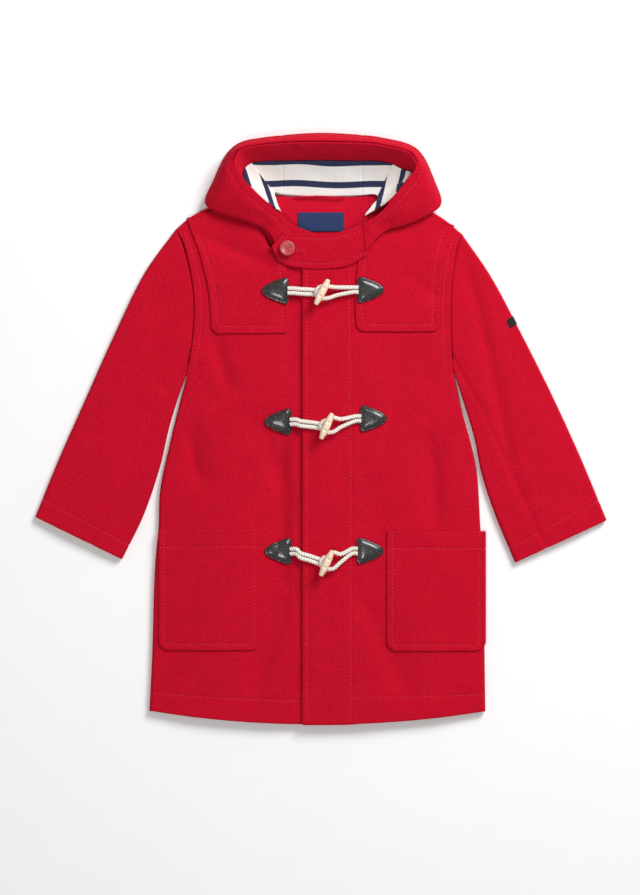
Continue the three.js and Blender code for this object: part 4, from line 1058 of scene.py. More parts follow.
@dataclass
class Body:
    """Back panel and the two fronts, the left one on top with its doubled placket."""

    armpit_row: float = 0.62
    neck_row: float = 0.8
    armpit_y: float = 70.0
    placket_wall: float = 3.6
    placket_lift: float = 2.4
    under_dip: float = 1.7
    fill: float = 3.2
    fold_depth: float = 1.35
    folds: tuple[Crease, ...] = as_creases(
        (-48, 10, -52, -180, 19, -2.6), (-46, -180, -84, -325, 21, -3.0), (-88, 18, -52, -60, 18, -1.7),
        (-130, 110, -108, 40, 17, -2.2), (-160, -5, -142, -75, 18, -2.6),
        (-118, -40, -126, -290, 28, 1.6), (-138, 234, -64, 196, 18, -1.9),
        (130, -10, 136, -124, 17, -3.5), (62, -190, 104, -318, 19, -2.2), (88, 70, 84, -120, 28, 1.3),
        (98, 190, 140, 158, 16, -1.2), (150, -190, 158, -330, 21, -1.2))
    fine: tuple[Crease, ...] = as_creases(
        (-49, -8, -47, -184, 10, -1.3), (-30, -188, -80, -314, 9, -1.3), (-128, 106, -110, 44, 9, -1.3),
        (-160, -12, -148, -66, 8, -1.4), (-146, 230, -58, 193, 8, -1.4), (133, -16, 137, -118, 9, -1.6),
        (38, -188, 95, -308, 9, -1.3), (102, 184, 142, 154, 7, -0.8), (-27.5, 130, -27.5, -346, 4, -0.8),
        (-72, 8, -52, -62, 9, -1.0), (74, 40, 60, -70, 10, 0.6), (-100, -60, -104, -180, 12, 0.6),
        (-148, 60, -118, 20, 9, -0.8), (-150, 30, -128, -22, 8, 0.6), (-120, 96, -92, 52, 10, 0.5),
        (144, 58, 120, 10, 9, -0.8), (150, 22, 134, -30, 8, 0.6), (104, 92, 84, 40, 11, -0.5),
        (-36, -70, -44, -150, 8, -0.8), (-34, 120, -40, 60, 8, -0.7), (-98, -10, -66, -60, 9, 0.5),
        (-70, -285, -96, -340, 10, -0.6), (60, -60, 72, -130, 10, -0.5), (50, 92, 62, 20, 9, 0.5),
        (-150, -285, -146, -338, 10, -0.7), (120, -285, 128, -338, 11, 0.6), (12, 110, 8, 40, 9, -0.4),
        (8, -30, 14, -110, 9, 0.35), (10, -200, 2, -280, 9, -0.4))

    def bare_height(self, x: Array, y: Array) -> Array:
        """Returns the height of the fronts' outer face, but for dip, placket and turned edges."""
        x, y = np.asarray(x, float), np.asarray(y, float)
        on_right = x < HEM_MIDDLE
        side = np.where(on_right, RIGHT.side_by_y(np.minimum(y, self.armpit_y)),
                        LEFT.side_by_y(np.minimum(y, self.armpit_y)))
        to_side = np.abs(side - x) + 60 * ease(self.armpit_y - 20, self.armpit_y + 40, y)
        to_shoulder = np.where(on_right, RIGHT.shoulder(x), LEFT.shoulder(x)) - y
        fill = self.fill * ease(0, 60, np.minimum(to_side, to_shoulder))
        calm = ease(5, 34, to_side) * ease(5, 34, to_shoulder)
        off_placket = np.maximum(LEFT.free_edge - x, x - RIGHT.free_edge)
        folds = self.fold_depth * creased(self.folds, x, y) * ease(6, 26, off_placket)
        return CLOTH.edge_height + fill + (folds + 1.5 * creased(self.fine, x, y) + ripple(x, y)) * calm

    def under(self, x: Array, y: Array) -> Array:
        """Returns the height of the right front's outer face."""
        return self.bare_height(x, y) - self.under_dip * ease(LEFT.free_edge - 34, LEFT.free_edge - 9, x)

    def over(self, x: Array, y: Array) -> Array:
        """Returns the height of the left front's outer face."""
        past = ease(RIGHT.free_edge + 2, RIGHT.free_edge + 54, x)
        return self.bare_height(x, y) + self.placket_lift * (1 - past)

    def arm(self, row: Array) -> Array:
        """Returns how far up the armhole a row is, 0 at the armpit and 1 at the shoulder."""
        return (row - self.armpit_row) / (1 - self.armpit_row)

    def edge(self, half: Half, row: Array) -> list[Array]:
        """Returns x and y of the outer edge: the side up to the armpit, then the armhole."""
        arm = self.arm(row)
        return [np.where(arm < 0, half.side(k, row), half.armhole(k, arm)) for k in "xy"]

    def on_side(self, row: Array) -> Array:
        """Returns 1 where the outer edge is the side and 0 where it is the armhole."""
        return 1 - ease(self.armpit_row - 0.035, self.armpit_row + 0.01, row)

    def front(self, half: Half) -> Surface:
        """Returns a front: u is 0 at the free edge, 1 where the side turns down and 2 at the side
        seam; v is 0 at the hem, 1 where the shoulder turns down and 2 at its seam."""
        top = self.under if half is RIGHT else self.over
        roll = CLOTH.side_roll

        def surface(u: Array, v: Array) -> Array:
            """Returns points of the front."""
            row = np.minimum(v, 1)
            outer, on_side = self.edge(half, row), self.on_side(row)
            neck = (row - self.neck_row) / (1 - self.neck_row)
            inner_x = np.where(neck < 0, half.free_edge, half.neck("x", neck))
            bottom, start = hem_y(half.free_edge), half.neck("y", 0)
            inner_y = np.where(neck < 0, mix(bottom, start, row / self.neck_row), half.neck("y", neck))
            flat = np.minimum(u, 1)
            angle_u, angle_v = np.maximum(0, u - 1) * math.pi / 2, np.maximum(0, v - 1) * math.pi / 2
            near_top = ease(0.9, 1, row)
            even_x = mix(inner_x, outer[0] - half.out * roll, flat)
            x = even_x - half.tip_lean * flat * near_top
            seam_x = even_x + half.out * roll * np.maximum(0, u - 1)
            bow = half.shoulder(seam_x) - mix(half.neck("y", 1), half.armhole("y", 1), flat)
            y = mix(inner_y, outer[1], flat) + (bow - roll) * near_top
            y = y + (hem_y(x) - mix(bottom, half.side("y", 0), flat)) * (1 - ease(0, 0.2, row))
            z = top(x, y)
            turned = on_side * np.sin(angle_u) + (1 - on_side) * np.maximum(0, u - 1)
            x = x + half.out * roll * turned + half.tip_lean * flat * np.sin(angle_v)
            y = y + roll * np.sin(angle_v)
            return np.stack([x, y, z - roll * (on_side * (1 - np.cos(angle_u)) + 1 - np.cos(angle_v))],
                            axis=-1)

        return surface

    def back(self, u: Array, v: Array) -> Array:
        """Returns the back: flat on the floor, u from side seam to side seam, v from hem to shoulder."""
        roll = CLOTH.side_roll
        row = np.minimum(v, 1)
        ends, on_side = [self.edge(half, row) for half in (RIGHT, LEFT)], self.on_side(row)
        flat = np.clip(u, 0, 1)
        turn_u, turn_v = np.maximum(0, np.maximum(-u, u - 1)), np.maximum(0, v - 1)
        near_top = ease(0.9, 1, row)
        lean = mix(RIGHT.tip_lean, LEFT.tip_lean, flat) * np.abs(2 * flat - 1)
        x = mix(ends[0][0] + roll, ends[1][0] - roll, flat) - lean * near_top
        y = mix(ends[0][1], ends[1][1], flat) - roll * near_top
        neck = Curve([-80, -1, 78], [283, 275, 282])
        line = mix(ends[0][0], ends[1][0], flat)
        shoulder = np.where(line < -80, RIGHT.shoulder(line),
                            np.where(line > 78, LEFT.shoulder(line), neck(line)))
        y = mix(y, mix(self.armpit_y, shoulder - roll, np.clip(self.arm(row), 0, 1)), ease(0.7, 1, row))
        y = y + (hem_y(x) - mix(RIGHT.side("y", 0), LEFT.side("y", 0), flat)) * (1 - ease(0, 0.2, row))
        angle_u, angle_v = turn_u * math.pi / 2, turn_v * math.pi / 2
        at_neck = ease(80, 74, np.abs(x + 1))
        x = x + np.where(u < 0.5, -1, 1) * roll * (on_side * np.sin(angle_u) + (1 - on_side) * turn_u)
        x = x + lean * np.sin(angle_v)
        y = y + roll * mix(np.sin(angle_v), turn_v, at_neck)
        lift = on_side * (1 - np.cos(angle_u)) + (1 - np.cos(angle_v)) * (1 - at_neck)
        return np.stack([x, y, roll * lift], axis=-1)

    def armhole_row(self, half: Half, inside: float) -> SewnLine:
        """Returns the stitches that run round an armhole, this far inside it."""
        at = np.array(steps(0.04, 0.97, 24))
        x, y = half.armhole("x", at), half.armhole("y", at)
        return SewnLine(tuple(zip((x - half.out * inside).tolist(), y.tolist())))

    def build(self, sewing: Sewing) -> list[Piece]:
        """Builds the three panels and lays their rows of stitches.

        Args:
            sewing: takes the rows.

        Returns:
            Both fronts and the back.
        """
        pixel = Placing.pixel
        placket = SewnLine(((-16.6, -351), (-16.8, -120), (-16.8, 60), (-16.8, 190)))
        facing_row = SewnLine(((35.2, -352), (35.4, -100), (34.4, 80), (34.2, 194)))
        right_hem = SewnLine((pixel(151, 693), pixel(186, 696), pixel(224, 698.5), pixel(262, 700),
                              pixel(302, 701)))
        left_hem = SewnLine((pixel(351, 697.5), pixel(400, 697), pixel(450, 696), pixel(485, 694.5)))
        arm_rows = {half.out: self.armhole_row(half, 7.6) for half in (RIGHT, LEFT)}
        lines = {RIGHT.out: [right_hem, arm_rows[RIGHT.out]],
                 LEFT.out: [placket, facing_row, left_hem, arm_rows[LEFT.out]]}
        rows = spread((0, 0.035, 7), (0.035, 0.075, 17), (0.075, 0.62, 118), (0.62, 0.8, 34), (0.8, 1, 46),
                      (1, 2, 7))
        columns = {
            RIGHT.out: spread((0, 0.3, 20), (0.3, 0.9, 66), (0.9, 1, 16), (1, 2, 7)),
            LEFT.out: spread((0, 0.05, 9), (0.05, 0.25, 14), (0.25, 0.36, 22), (0.36, 0.9, 54),
                             (0.9, 1, 16), (1, 2, 7)),
        }
        pieces = []
        for half, name in ((RIGHT, "front_right"), (LEFT, "front_left")):
            surface, mine = self.front(half), lines[half.out]
            facing = -1 if half is RIGHT else 1

            def relief(u: Array, v: Array, p: Array, mine: list[SewnLine] = mine) -> Array:
                """Returns the grooves of this front's stitches."""
                return sum(line.groove(p[..., 0], p[..., 1]) for line in mine)

            def placket_thick(u: Array, v: Array, surface: Surface = surface) -> Array:
                """Returns the wall, doubled over the placket."""
                return mix(self.placket_wall, CLOTH.wool,
                           ease(RIGHT.free_edge + 1, RIGHT.free_edge + 5, surface(u, v)[..., 0]))

            thick = placket_thick if half is LEFT else CLOTH.wool
            shell = Shell(surface, columns[half.out], rows, thick, facing, relief)
            piece = shell.build("cloth_" + name, Finish.WOOL, name)
            width, length = (0.25, 0.65) if half is RIGHT else (0.226, 0.65)
            width * length * 0.82
            pieces.append(piece)
            top = self.under if half is RIGHT else self.over
            for line in mine:
                plan = line.even()
                z = top(plan[:, 0], plan[:, 1]) + line.groove(plan[:, 0], plan[:, 1]) + CLOTH.stitch_lift
                drop = turn_drop(half.shoulder(plan[:, 0]) - plan[:, 1])
                sewing.add(np.column_stack([plan, z - drop + 0.3]))
        columns_back = spread((-1, 0, 6), (0, 1, 90), (1, 2, 6))
        rows_back = spread((0, 1, 120), (1, 2, 6))
        shell = Shell(self.back, columns_back, rows_back, CLOTH.wool, -1)
        back = shell.build("cloth_back", Finish.WOOL, "back")
        return pieces + [back]


@dataclass
class Sleeve:
    """A sleeve of an upper and an under piece, its front seam on top and its back seam beneath."""

    name: str
    half: Half
    table: Table
    cuff_row: float
    height: float = 9.6
    fill: float = 1.7
    back_seam: float = 2.86
    gap: float = 0.55
    tuck: float = 2.0
    tuck_row: float = 0.0038
    length: float = 385.0
    reach: float = 0.45
    folds: tuple[Crease, ...] = as_creases(
        (174, 192, 200, 92, 8, -3.0), (198, 100, 226, -40, 8.5, -3.0), (226, -30, 244, -90, 9, -1.2),
        (252, 60, 300, -60, 20, 0.8), (-196, 120, -232, 40, 16, -1.3), (-250, 40, -292, -60, 20, 0.7),
        (-215, -20, -250, -95, 15, -0.9), (-190, 205, -232, 132, 11, 0.6), (-176, 150, -204, 84, 9, -0.6),
        (-236, 96, -262, 40, 9, -0.5), (-206, 62, -180, 44, 7, -0.7), (-218, 26, -192, 12, 7, -0.6),
        (-262, 20, -300, -66, 9, -0.4), (190, 212, 232, 120, 10, 0.6), (206, 74, 184, 52, 7, -0.8),
        (226, 30, 198, 10, 7, -0.6), (240, 90, 268, 26, 9, -0.5), (268, 0, 302, -80, 9, -0.4),
        (222, -10, 262, -96, 9, 0.5))

    def surface(self, p: Array, t: Array) -> Array:
        """Returns the sleeve's outer face: p 0 to 1 over the top from outer to inner fold, 1 to 2 round
        the inner fold, 2 to 3 back beneath, 3 to 4 round the outer fold; t from armhole to cuff."""
        turn = np.mod(np.asarray(p, float) + 4, 4)
        out_x, out_y, in_x, in_y = (self.table(k, t) for k in ("outX", "outY", "inX", "inY"))
        roll = self.height / 2
        share = roll / np.hypot(out_x - in_x, out_y - in_y)
        place = np.select(
            [turn < 1, turn < 2, turn < 3],
            [mix(share, 1 - share, turn), 1 - share * (1 - np.sin((turn - 1) * math.pi)),
             mix(1 - share, share, turn - 2)],
            share * (1 - np.sin((turn - 3) * math.pi)))
        half = self.half
        fade = np.maximum(0, 1 - t / self.reach) ** 2
        chord = [mix(half.armhole(k, 1), half.armhole(k, 0), place) for k in "xy"]
        x = mix(out_x, in_x, place) + (half.armhole("x", 1 - place) - chord[0]) * fade
        inside = np.minimum(turn, 1 - turn)
        tucked = ease(0, 0.08, inside) * np.clip(1 - np.asarray(t) / self.tuck_row, 0, 1)
        x = x + half.out * (self.gap * (np.asarray(t) < 0.01) - self.tuck * tucked)
        y = mix(out_y, in_y, place) + (half.armhole("y", 1 - place) - chord[1]) * fade
        swell = creased(self.folds, x, y) + 0.8 * ripple(x * 1.2 + 40, y)
        top = self.height + self.fill * ease(0, 0.32, inside) + swell * ease(0, 0.15, inside)
        top = top - self.tuck * tucked
        z = np.select([turn < 1, turn < 2, turn < 3],
                      [top, roll * (1 + np.cos((turn - 1) * math.pi)), np.zeros_like(x)],
                      roll * (1 - np.cos((turn - 3) * math.pi)))
        return np.stack([x, y, z], axis=-1)

    def between(self, start: Callable[[Array], Array], end: Callable[[Array], Array]) -> Surface:
        """Returns the stretch of the sleeve between two seams."""
        return lambda u, t: self.surface(mix(start(t), end(t), u), t)

    def build(self, sewing: Sewing) -> list[Piece]:
        """Builds both pieces and lays the stitches of the cuff.

        Args:
            sewing: takes the stitches.

        Returns:
            The upper piece and the under piece.
        """
        def half_seam(t: Array) -> Array:
            """Returns half the seam's gap as a share of the width."""
            wide = np.hypot(self.table("outX", t) - self.table("inX", t),
                            self.table("outY", t) - self.table("inY", t))
            return CLOTH.seam / 2 / wide

        def seam(t: Array) -> Array:
            """Returns the front seam's place."""
            return self.table("seam", t)

        facing = 1 if self.half is LEFT else -1
        cuff, length = self.cuff_row, self.length

        def relief(u: Array, t: Array, p: Array) -> Array:
            """Returns the groove of the cuff's stitches and the low of the seams."""
            hem = -0.6 * np.exp(-(((t - cuff) * length / 1.8) ** 2))
            edge = np.minimum(u, 1 - u) * 120
            return hem - 0.9 * np.exp(-((edge / 2.2) ** 2)) - 0.5 * np.exp(-((t * length / 2.5) ** 2))

        upper = self.between(lambda t: self.back_seam + half_seam(t) - 4, lambda t: seam(t) - half_seam(t))
        under = self.between(lambda t: seam(t) + half_seam(t), lambda t: self.back_seam - half_seam(t))
        rows = spread((0, 0.03, 8), (0.03, cuff - 0.015, 96), (cuff - 0.015, cuff + 0.015, 12),
                      (cuff + 0.015, 1, 12))
        pieces = []
        parts = (("upper", upper, spread((0, 0.1, 8), (0.1, 0.97, 82), (0.97, 1, 7))),
                 ("under", under, spread((0, 0.05, 7), (0.05, 0.97, 76), (0.97, 1, 4))))
        for part, surface, columns in parts:
            node = f"sleeve_{part}_{self.name}"
            shell = Shell(surface, columns, rows, CLOTH.wool, facing, relief)
            piece = shell.build("cloth_" + node, Finish.WOOL, node)
            width, share = (0.115, 0.85) if part == "upper" else (0.12, 0.78)
            width * 0.39 * share
            pieces.append(piece)
            at = np.array(steps(0.012, 0.988, 70))
            sewing.add(line_on(surface, at, cuff, -0.35, facing))
        return pieces


RIGHT_SLEEVE = Sleeve("right", RIGHT, Table("outX outY inX inY seam", [
    [0, -174.7, 239.5, -161.5, 66.5, 0.93], [0.2, -214, 184, -173, 34, 0.89],
    [0.4, -250, 110, -183.5, -1, 0.825],
    [0.6, -284, 34, -194.5, -48, 0.745], [0.8, -316, -38, -214, -105, 0.685],
    [1, -343.8, -106, -239.4, -157, 0.65]]), 0.937)
LEFT_SLEEVE = Sleeve("left", LEFT, Table("outX outY inX inY seam", [
    [0, 168.7, 233.5, 158.5, 69.5, 0.92], [0.2, 205, 180, 170.5, 32, 0.87],
    [0.4, 241, 112, 183.5, -11, 0.8],
    [0.6, 276, 42, 192.5, -55, 0.74], [0.8, 310, -32, 208.5, -104, 0.7],
    [1, 342.6, -110, 232.2, -161, 0.675]]), 0.942)


def corner_in(radius: float, height: Array) -> Array:
    """Returns how far a rounded corner has come in, this high above its end."""
    height = np.asarray(height, float)
    return np.where(height >= radius, 0,
                    radius - np.sqrt(np.maximum(0, radius**2 - (radius - np.maximum(0, height)) ** 2)))


@dataclass
class Pocket:
    """A patch pocket with an open top that gapes a little."""

    name: str
    x1: float
    x2: float
    top: float
    bottom: float
    slope: float
    gape_at: float
    gape: float
    corner: float = 11.0
    hem: float = 20.0
    inside: float = 6.5

    def plan(self, s: Array, t: Array) -> tuple[Array, Array]:
        """Returns plan points: s across, t from bottom to top."""
        y = mix(self.bottom, self.top, t)
        inset = corner_in(self.corner, y - self.bottom)
        return mix(self.x1 + inset, self.x2 - inset, s), y + self.slope * t * (s - 0.5)

    def build(self, body: Body, sewing: Sewing) -> Piece:
        """Builds the pocket on its front and lays its stitches.

        Args:
            body: gives the height of the front.
            sewing: takes the stitches.

        Returns:
            The piece.
        """
        height = body.under if self.name == "right" else body.over

        def carrier(x: Array, y: Array) -> Array:
            """Returns the height of the front, and of the gape above it."""
            gape = self.gape * np.exp(-(((x - self.gape_at) / 22) ** 2)) * ease(self.top - 28, self.top, y)
            return height(x, y) + gape

        x1, x2, low = self.x1 + self.inside, self.x2 - self.inside, self.bottom + self.inside
        soft = self.corner * 0.5
        around = SewnLine(((x1, self.top), (x1, low + soft), (x1 + soft * 0.3, low + soft * 0.3),
                           (x1 + soft, low), (x2 - soft, low), (x2 - soft * 0.3, low + soft * 0.3),
                           (x2, low + soft), (x2, self.top)))
        hem = SewnLine(((self.x1 + 1, self.top - self.hem - self.slope / 2),
                        (self.x2 - 1, self.top - self.hem + self.slope / 2)))
        columns = spread((0, 0.09, 10), (0.09, 0.91, 42), (0.91, 1, 10))
        rows = [0.0, 0.002, 0.008, 0.018, 0.03]
        rows += spread((0.045, 0.075, 3), (0.09, 0.82, 48), (0.82, 0.9, 9), (0.9, 1, 9))
        plate = Plate(self.plan, carrier, columns, rows, lines=(around, hem))
        piece = plate.build("cloth_pocket_" + self.name, Finish.WOOL, "pocket_" + self.name)
        plate.stitch(sewing)
        return piece


@dataclass
class Yoke:
    """A shoulder yoke sewn on a front, with round lower corners, up into the shoulder seam."""

    name: str
    half: Half
    bottom: float
    inner: Curve
    outer: Curve
    corner: float = 9.0
    straight: float = 84.0
    neck_gap: float = 4.0
    inside: float = 7.8

    def plan(self, s: Array, t: Array) -> tuple[Array, Array]:
        """Returns plan points: s from the inner edge to the armhole, t from the bottom up."""
        neck_from = self.bottom + self.straight
        y = self.bottom + self.straight * np.minimum(t, 1)
        inset = self.half.out * corner_in(self.corner, y - self.bottom)
        above = np.clip(t - 1, 0, 1)
        along = mix(0.5, 0.985, above)
        nx = self.half.neck("x", along) + self.half.out * self.neck_gap
        shoulder_x = self.outer(neck_from + 50 * above)
        shoulder_y = mix(neck_from, self.half.shoulder(shoulder_x) - 1.2, above)
        low = t <= 1
        inner = [np.where(low, self.inner(y) + inset, mix(self.inner(neck_from), nx, ease(0, 0.35, above))),
                 np.where(low, y, self.half.neck("y", along))]
        outer = [np.where(low, self.outer(y) - inset, shoulder_x), np.where(low, y, shoulder_y)]
        x = mix(inner[0], outer[0], s)
        return x, np.minimum(mix(inner[1], outer[1], s), self.half.shoulder(x) - 0.8)

    def build(self, body: Body, sewing: Sewing) -> Piece:
        """Builds the yoke and lays its stitches.

        Args:
            body: gives the height of the front.
            sewing: takes the stitches.

        Returns:
            The piece.
        """
        height = body.under if self.half is RIGHT else body.over

        def carrier(x: Array, y: Array) -> Array:
            """Returns the height of the front, turned down at the shoulder."""
            return height(x, y) - turn_drop(self.half.shoulder(x) - y)

        out, low, inside = self.half.out, self.bottom + self.inside, self.inside
        ys = np.linspace(self.bottom + 11, self.bottom + self.straight + 4, 12)
        inner = [(float(self.inner(y)) + out * inside, float(y)) for y in ys[::-1]]
        heights = np.linspace(ys[0], ys[-1] + 34, 14)
        outer = [(float(self.outer(y)) - out * inside, float(y)) for y in heights]
        first, last = inner[-1][0], outer[0][0]
        bend = ((first + out * 1.2, low + 1.2), (first + out * 3.4, low), (last - out * 3.4, low),
                (last - out * 1.2, low + 1.2))
        line = SewnLine(tuple(inner) + bend + tuple(outer))
        columns = spread((0, 0.14, 13), (0.14, 0.86, 32), (0.86, 1, 13))
        rows = [0.0, 0.003, 0.01, 0.022, 0.04, 0.06] + spread((0.07, 0.14, 7), (0.14, 1, 36), (1, 2, 36))
        plate = Plate(self.plan, carrier, columns, rows, lines=(line,))
        piece = plate.build("cloth_yoke_" + self.name, Finish.WOOL, "yoke_" + self.name)
        plate.stitch(sewing)
        return piece


@dataclass
class Hood:
    """The hood: wool sides and centre, facing inside the rim, striped lining, folded crown beneath."""

    seam_right: float = 10.0
    seam_left: float = 13.0
    bulge: float = 0.34
    bowl_from: float = 2.6
    bowl_to: float = 20.4
    fold_right: float = 7.35
    fold_left: float = 15.2
    table: Table = field(default_factory=lambda: Table("rimX rimY rimZ foldX foldY lie roll tuck", [
        [0, -4, 231, 18.6, -8, 200, 11.8, 2.8, 4], [1, -34, 242, 21, -48, 212, 12.4, 2.9, 5],
        [2, -50, 255, 26, -66, 236, 14.6, 3.9, 8], [3, -70, 271, 33, -96, 249, 16, 4.6, 14],
        [4, -87, 286, 37, -125, 258, 15.4, 4.8, 16], [5, -97, 299, 40, -140, 271, 8.5, 4.8, 14],
        [6, -106, 317, 42, -130, 298, 0, 4.8, 6], [7, -101, 331, 43, -115, 329, 0, 4.8, 1],
        [8, -88, 336, 44, -97, 344, 0, 4.8, 1], [9, -69, 339, 45, -71, 349.5, 0, 4.8, 1],
        [10, -48, 341, 45, -49, 352, 0, 4.8, 1], [11, -20, 342, 46, -20, 354.5, 0, 4.8, 1],
        [12, 10, 342, 46, 10, 355, 0, 4.8, 1], [13, 49, 341, 45, 49, 352.5, 0, 4.8, 1],
        [14, 69, 339, 45, 70, 350, 0, 4.8, 1], [15, 96, 333, 44, 104, 342, 0, 4.8, 1],
        [16, 110, 326, 43, 122, 328, 0, 4.8, 1], [17, 115, 312, 42, 136, 298, 0, 4.8, 6],
        [18, 107, 299, 40, 144, 271, 8.5, 4.8, 14], [19, 101, 290, 38, 132, 257, 15.4, 4.8, 16],
        [20, 88, 275, 35, 104, 243.5, 16.4, 4.6, 14], [21, 69, 255, 29, 76, 234.5, 16.4, 4.2, 8],
        [22, 49, 243, 25, 53, 212, 18.2, 3.2, 5]]))
    bowl: Table = field(default_factory=lambda: Table("facX facY facZ neckX neckY neckZ", [
        [2, -46, 257, 17, -45.5, 254, 11], [3, -66.5, 271.5, 20, -51, 264, 10.5],
        [4, -82.5, 286.5, 21, -54, 271, 9.5],
        [5, -93, 298.5, 22, -55.5, 276, 8.6], [6, -93, 309, 22, -57, 279.5, 7.8],
        [7, -87, 316, 22, -57, 282, 7.3],
        [8, -76, 319, 22, -56, 283.5, 7], [9, -62, 320, 22, -52, 283, 6.6],
        [10, -47, 320, 22, -46, 281.5, 6.3],
        [11, -20, 320.5, 22, -20, 279.5, 6], [12, 10, 320.5, 22, 10, 279, 6],
        [13, 49, 320, 22, 49, 280.5, 6.3],
        [14, 64, 320, 22, 60, 281.5, 6.8], [15, 82, 317, 22, 67, 280, 7.3], [16, 95, 311, 22, 68, 276, 8],
        [17, 108.5, 306, 22, 66, 272, 8.6], [18, 103, 299, 22, 62, 268, 9.5],
        [19, 97, 290.8, 21, 58, 263, 10.5],
        [20, 84.5, 276, 20, 54, 258, 11], [21, 64, 260, 18, 51, 251, 12]]))
    creases: tuple[Crease, ...] = as_creases(
        (-122, 276, -92, 262, 9, -0.9), (-112, 300, -84, 272, 8, 0.5), (-92, 256, -66, 250, 6, -0.8),
        (-62, 236, -48, 246, 5, -1.3), (-70, 262, -56, 244, 6, 0.6), (126, 280, 104, 262, 9, -0.8),
        (112, 270, 84, 250, 8, 0.5), (84, 246, 62, 240, 6, -0.9), (66, 252, 54, 236, 5, 0.5),
        (-128, 312, -112, 302, 7, 0.4), (134, 300, 114, 290, 7, -0.5))
    least_reach: float = 26.0
    stitches_in: float = 8.0
    last_station: int = 22
    station_length: float = 22.0
    half_gap: float = 0.006
    jersey_fold: float = 1.3
    jersey_seams: tuple[float, float] = (-46.5, 49.0)
    stripe_start: float = 3.7
    repeat_right: float = 19.5
    repeat_left: float = 20.3
    facing_creases: tuple[Crease, ...] = as_creases(
        (-42, 340, -20, 324, 4, -0.7), (-30, 341, -8, 326, 4, 0.5), (96, 326, 84, 318, 4, -0.9),
        (26, 341, 40, 324, 5, -0.4), (-78, 334, -66, 322, 5, -0.5), (-98, 318, -88, 308, 4, 0.5))

    def wool(self, a: Array, v: Array) -> Array:
        """Returns the outer wool: a is the station round the opening, v from tucked edge to rim."""
        a, v = np.broadcast_arrays(np.asarray(a, float), np.asarray(v, float))
        read = {k: self.table(k, a) for k in self.table.curves}
        reach = np.hypot(read["rimX"] - read["foldX"], read["rimY"] - read["foldY"])
        wx, wy = (read["rimX"] - read["foldX"]) / reach, (read["rimY"] - read["foldY"]) / reach
        low, roll = np.maximum(0, read["lie"]), read["roll"]
        end = math.pi * 0.8
        angle = np.clip(v - 1, 0, 1) * end
        round_in, round_z = roll * (1 - np.sin(angle)), low + roll * (1 - np.cos(angle))
        s = np.maximum(0, v - 2)
        i0, z0 = roll * (1 - math.sin(end)), low + roll * (1 - math.cos(end))
        rise = read["rimZ"] - z0
        wall_z = mix(z0, read["rimZ"], s) + self.bulge * rise * np.sin(math.pi * s) * (1 - 0.35 * s)
        inward = np.select([v < 1, v < 2], [roll + read["tuck"] * (1 - v), round_in], mix(i0, reach, s))
        z = np.select([v < 1, v < 2], [low, round_z], wall_z)
        return np.stack([read["foldX"] + wx * inward, read["foldY"] + wy * inward, z], axis=-1)

    def facing(self, a: Array, v: Array) -> Array:
        """Returns the wool facing inside the rim, down to the lining."""
        rim = self.wool(a, np.full(np.shape(a), 3.0))
        fac = [self.bowl(k, a) for k in ("facX", "facY", "facZ")]
        reach = np.hypot(fac[0] - rim[..., 0], fac[1] - rim[..., 1]) + 1e-6
        s = mix(np.minimum((CLOTH.wool + 1.7) / reach, 0.6), 1, v)
        z = mix(rim[..., 2] - 0.4, fac[2], v) + 1.6 * np.sin(math.pi * v)
        return np.stack([mix(rim[..., 0], fac[0], s), mix(rim[..., 1], fac[1], s), z], axis=-1)

    def lining(self, a: Array, v: Array) -> Array:
        """Returns the jersey lining, down to the neck."""
        s = mix(0.035, 1, v)
        fac = [self.bowl(k, a) for k in ("facX", "facY", "facZ")]
        neck = [self.bowl(k, a) for k in ("neckX", "neckY", "neckZ")]
        sag = 2.5 * np.sin(math.pi * s)
        return np.stack([mix(fac[0], neck[0], s), mix(fac[1], neck[1], s), mix(fac[2], neck[2], s) - sag],
                        axis=-1)

    def lining_relief(self, a: Array, v: Array, p: Array) -> Array:
        """Returns the side panels' folds over the centre, the fine seams and small waves.

        Args:
            a: place along the rim.
            v: share of the way to the neck.
            p: points of the lining.
        """
        over = self.jersey_fold * (1 - ease(self.fold_right - 0.08, self.fold_right + 0.03, a))
        over = over + self.jersey_fold * ease(self.fold_left - 0.03, self.fold_left + 0.08, a)
        seams = -0.5 * sum(np.exp(-(((p[..., 0] - x) / 0.9) ** 2)) for x in self.jersey_seams)
        wave = 0.5 * np.sin(p[..., 0] / 8.5 + p[..., 1] / 19) * np.sin(p[..., 1] / 9 + 1)
        return over + seams + wave

    def stripes(self, a: Array, v: Array, p: Array, face_a: Array) -> Array:
        """Returns the jersey's UV: stripes lie across the back and stand on the sides.

        Args:
            a: place along the rim.
            v: share of the way to the neck.
            p: points of the lining.
            face_a: place along the rim of each face, which picks its panel.
        """
        x, y = p[..., 0], p[..., 1]
        wave = 1.6 * np.sin(x / 21 + 0.4) * np.cos(x / 43)
        centre = [x, 321.8 - y - wave + 0.3]
        start, pitch = self.stripe_start, Jersey.pitch
        right = [y, (0.953 * x + 0.303 * y - 4.4) * pitch / self.repeat_right + start]
        left = [y, (0.978 * x - 0.2075 * y - 11.6) * pitch / self.repeat_left + start]
        side, other = face_a < self.fold_right, face_a > self.fold_left
        picked = [np.where(side, r, np.where(other, le, c)) for r, le, c in zip(right, left, centre)]
        return np.stack(picked, axis=-1)

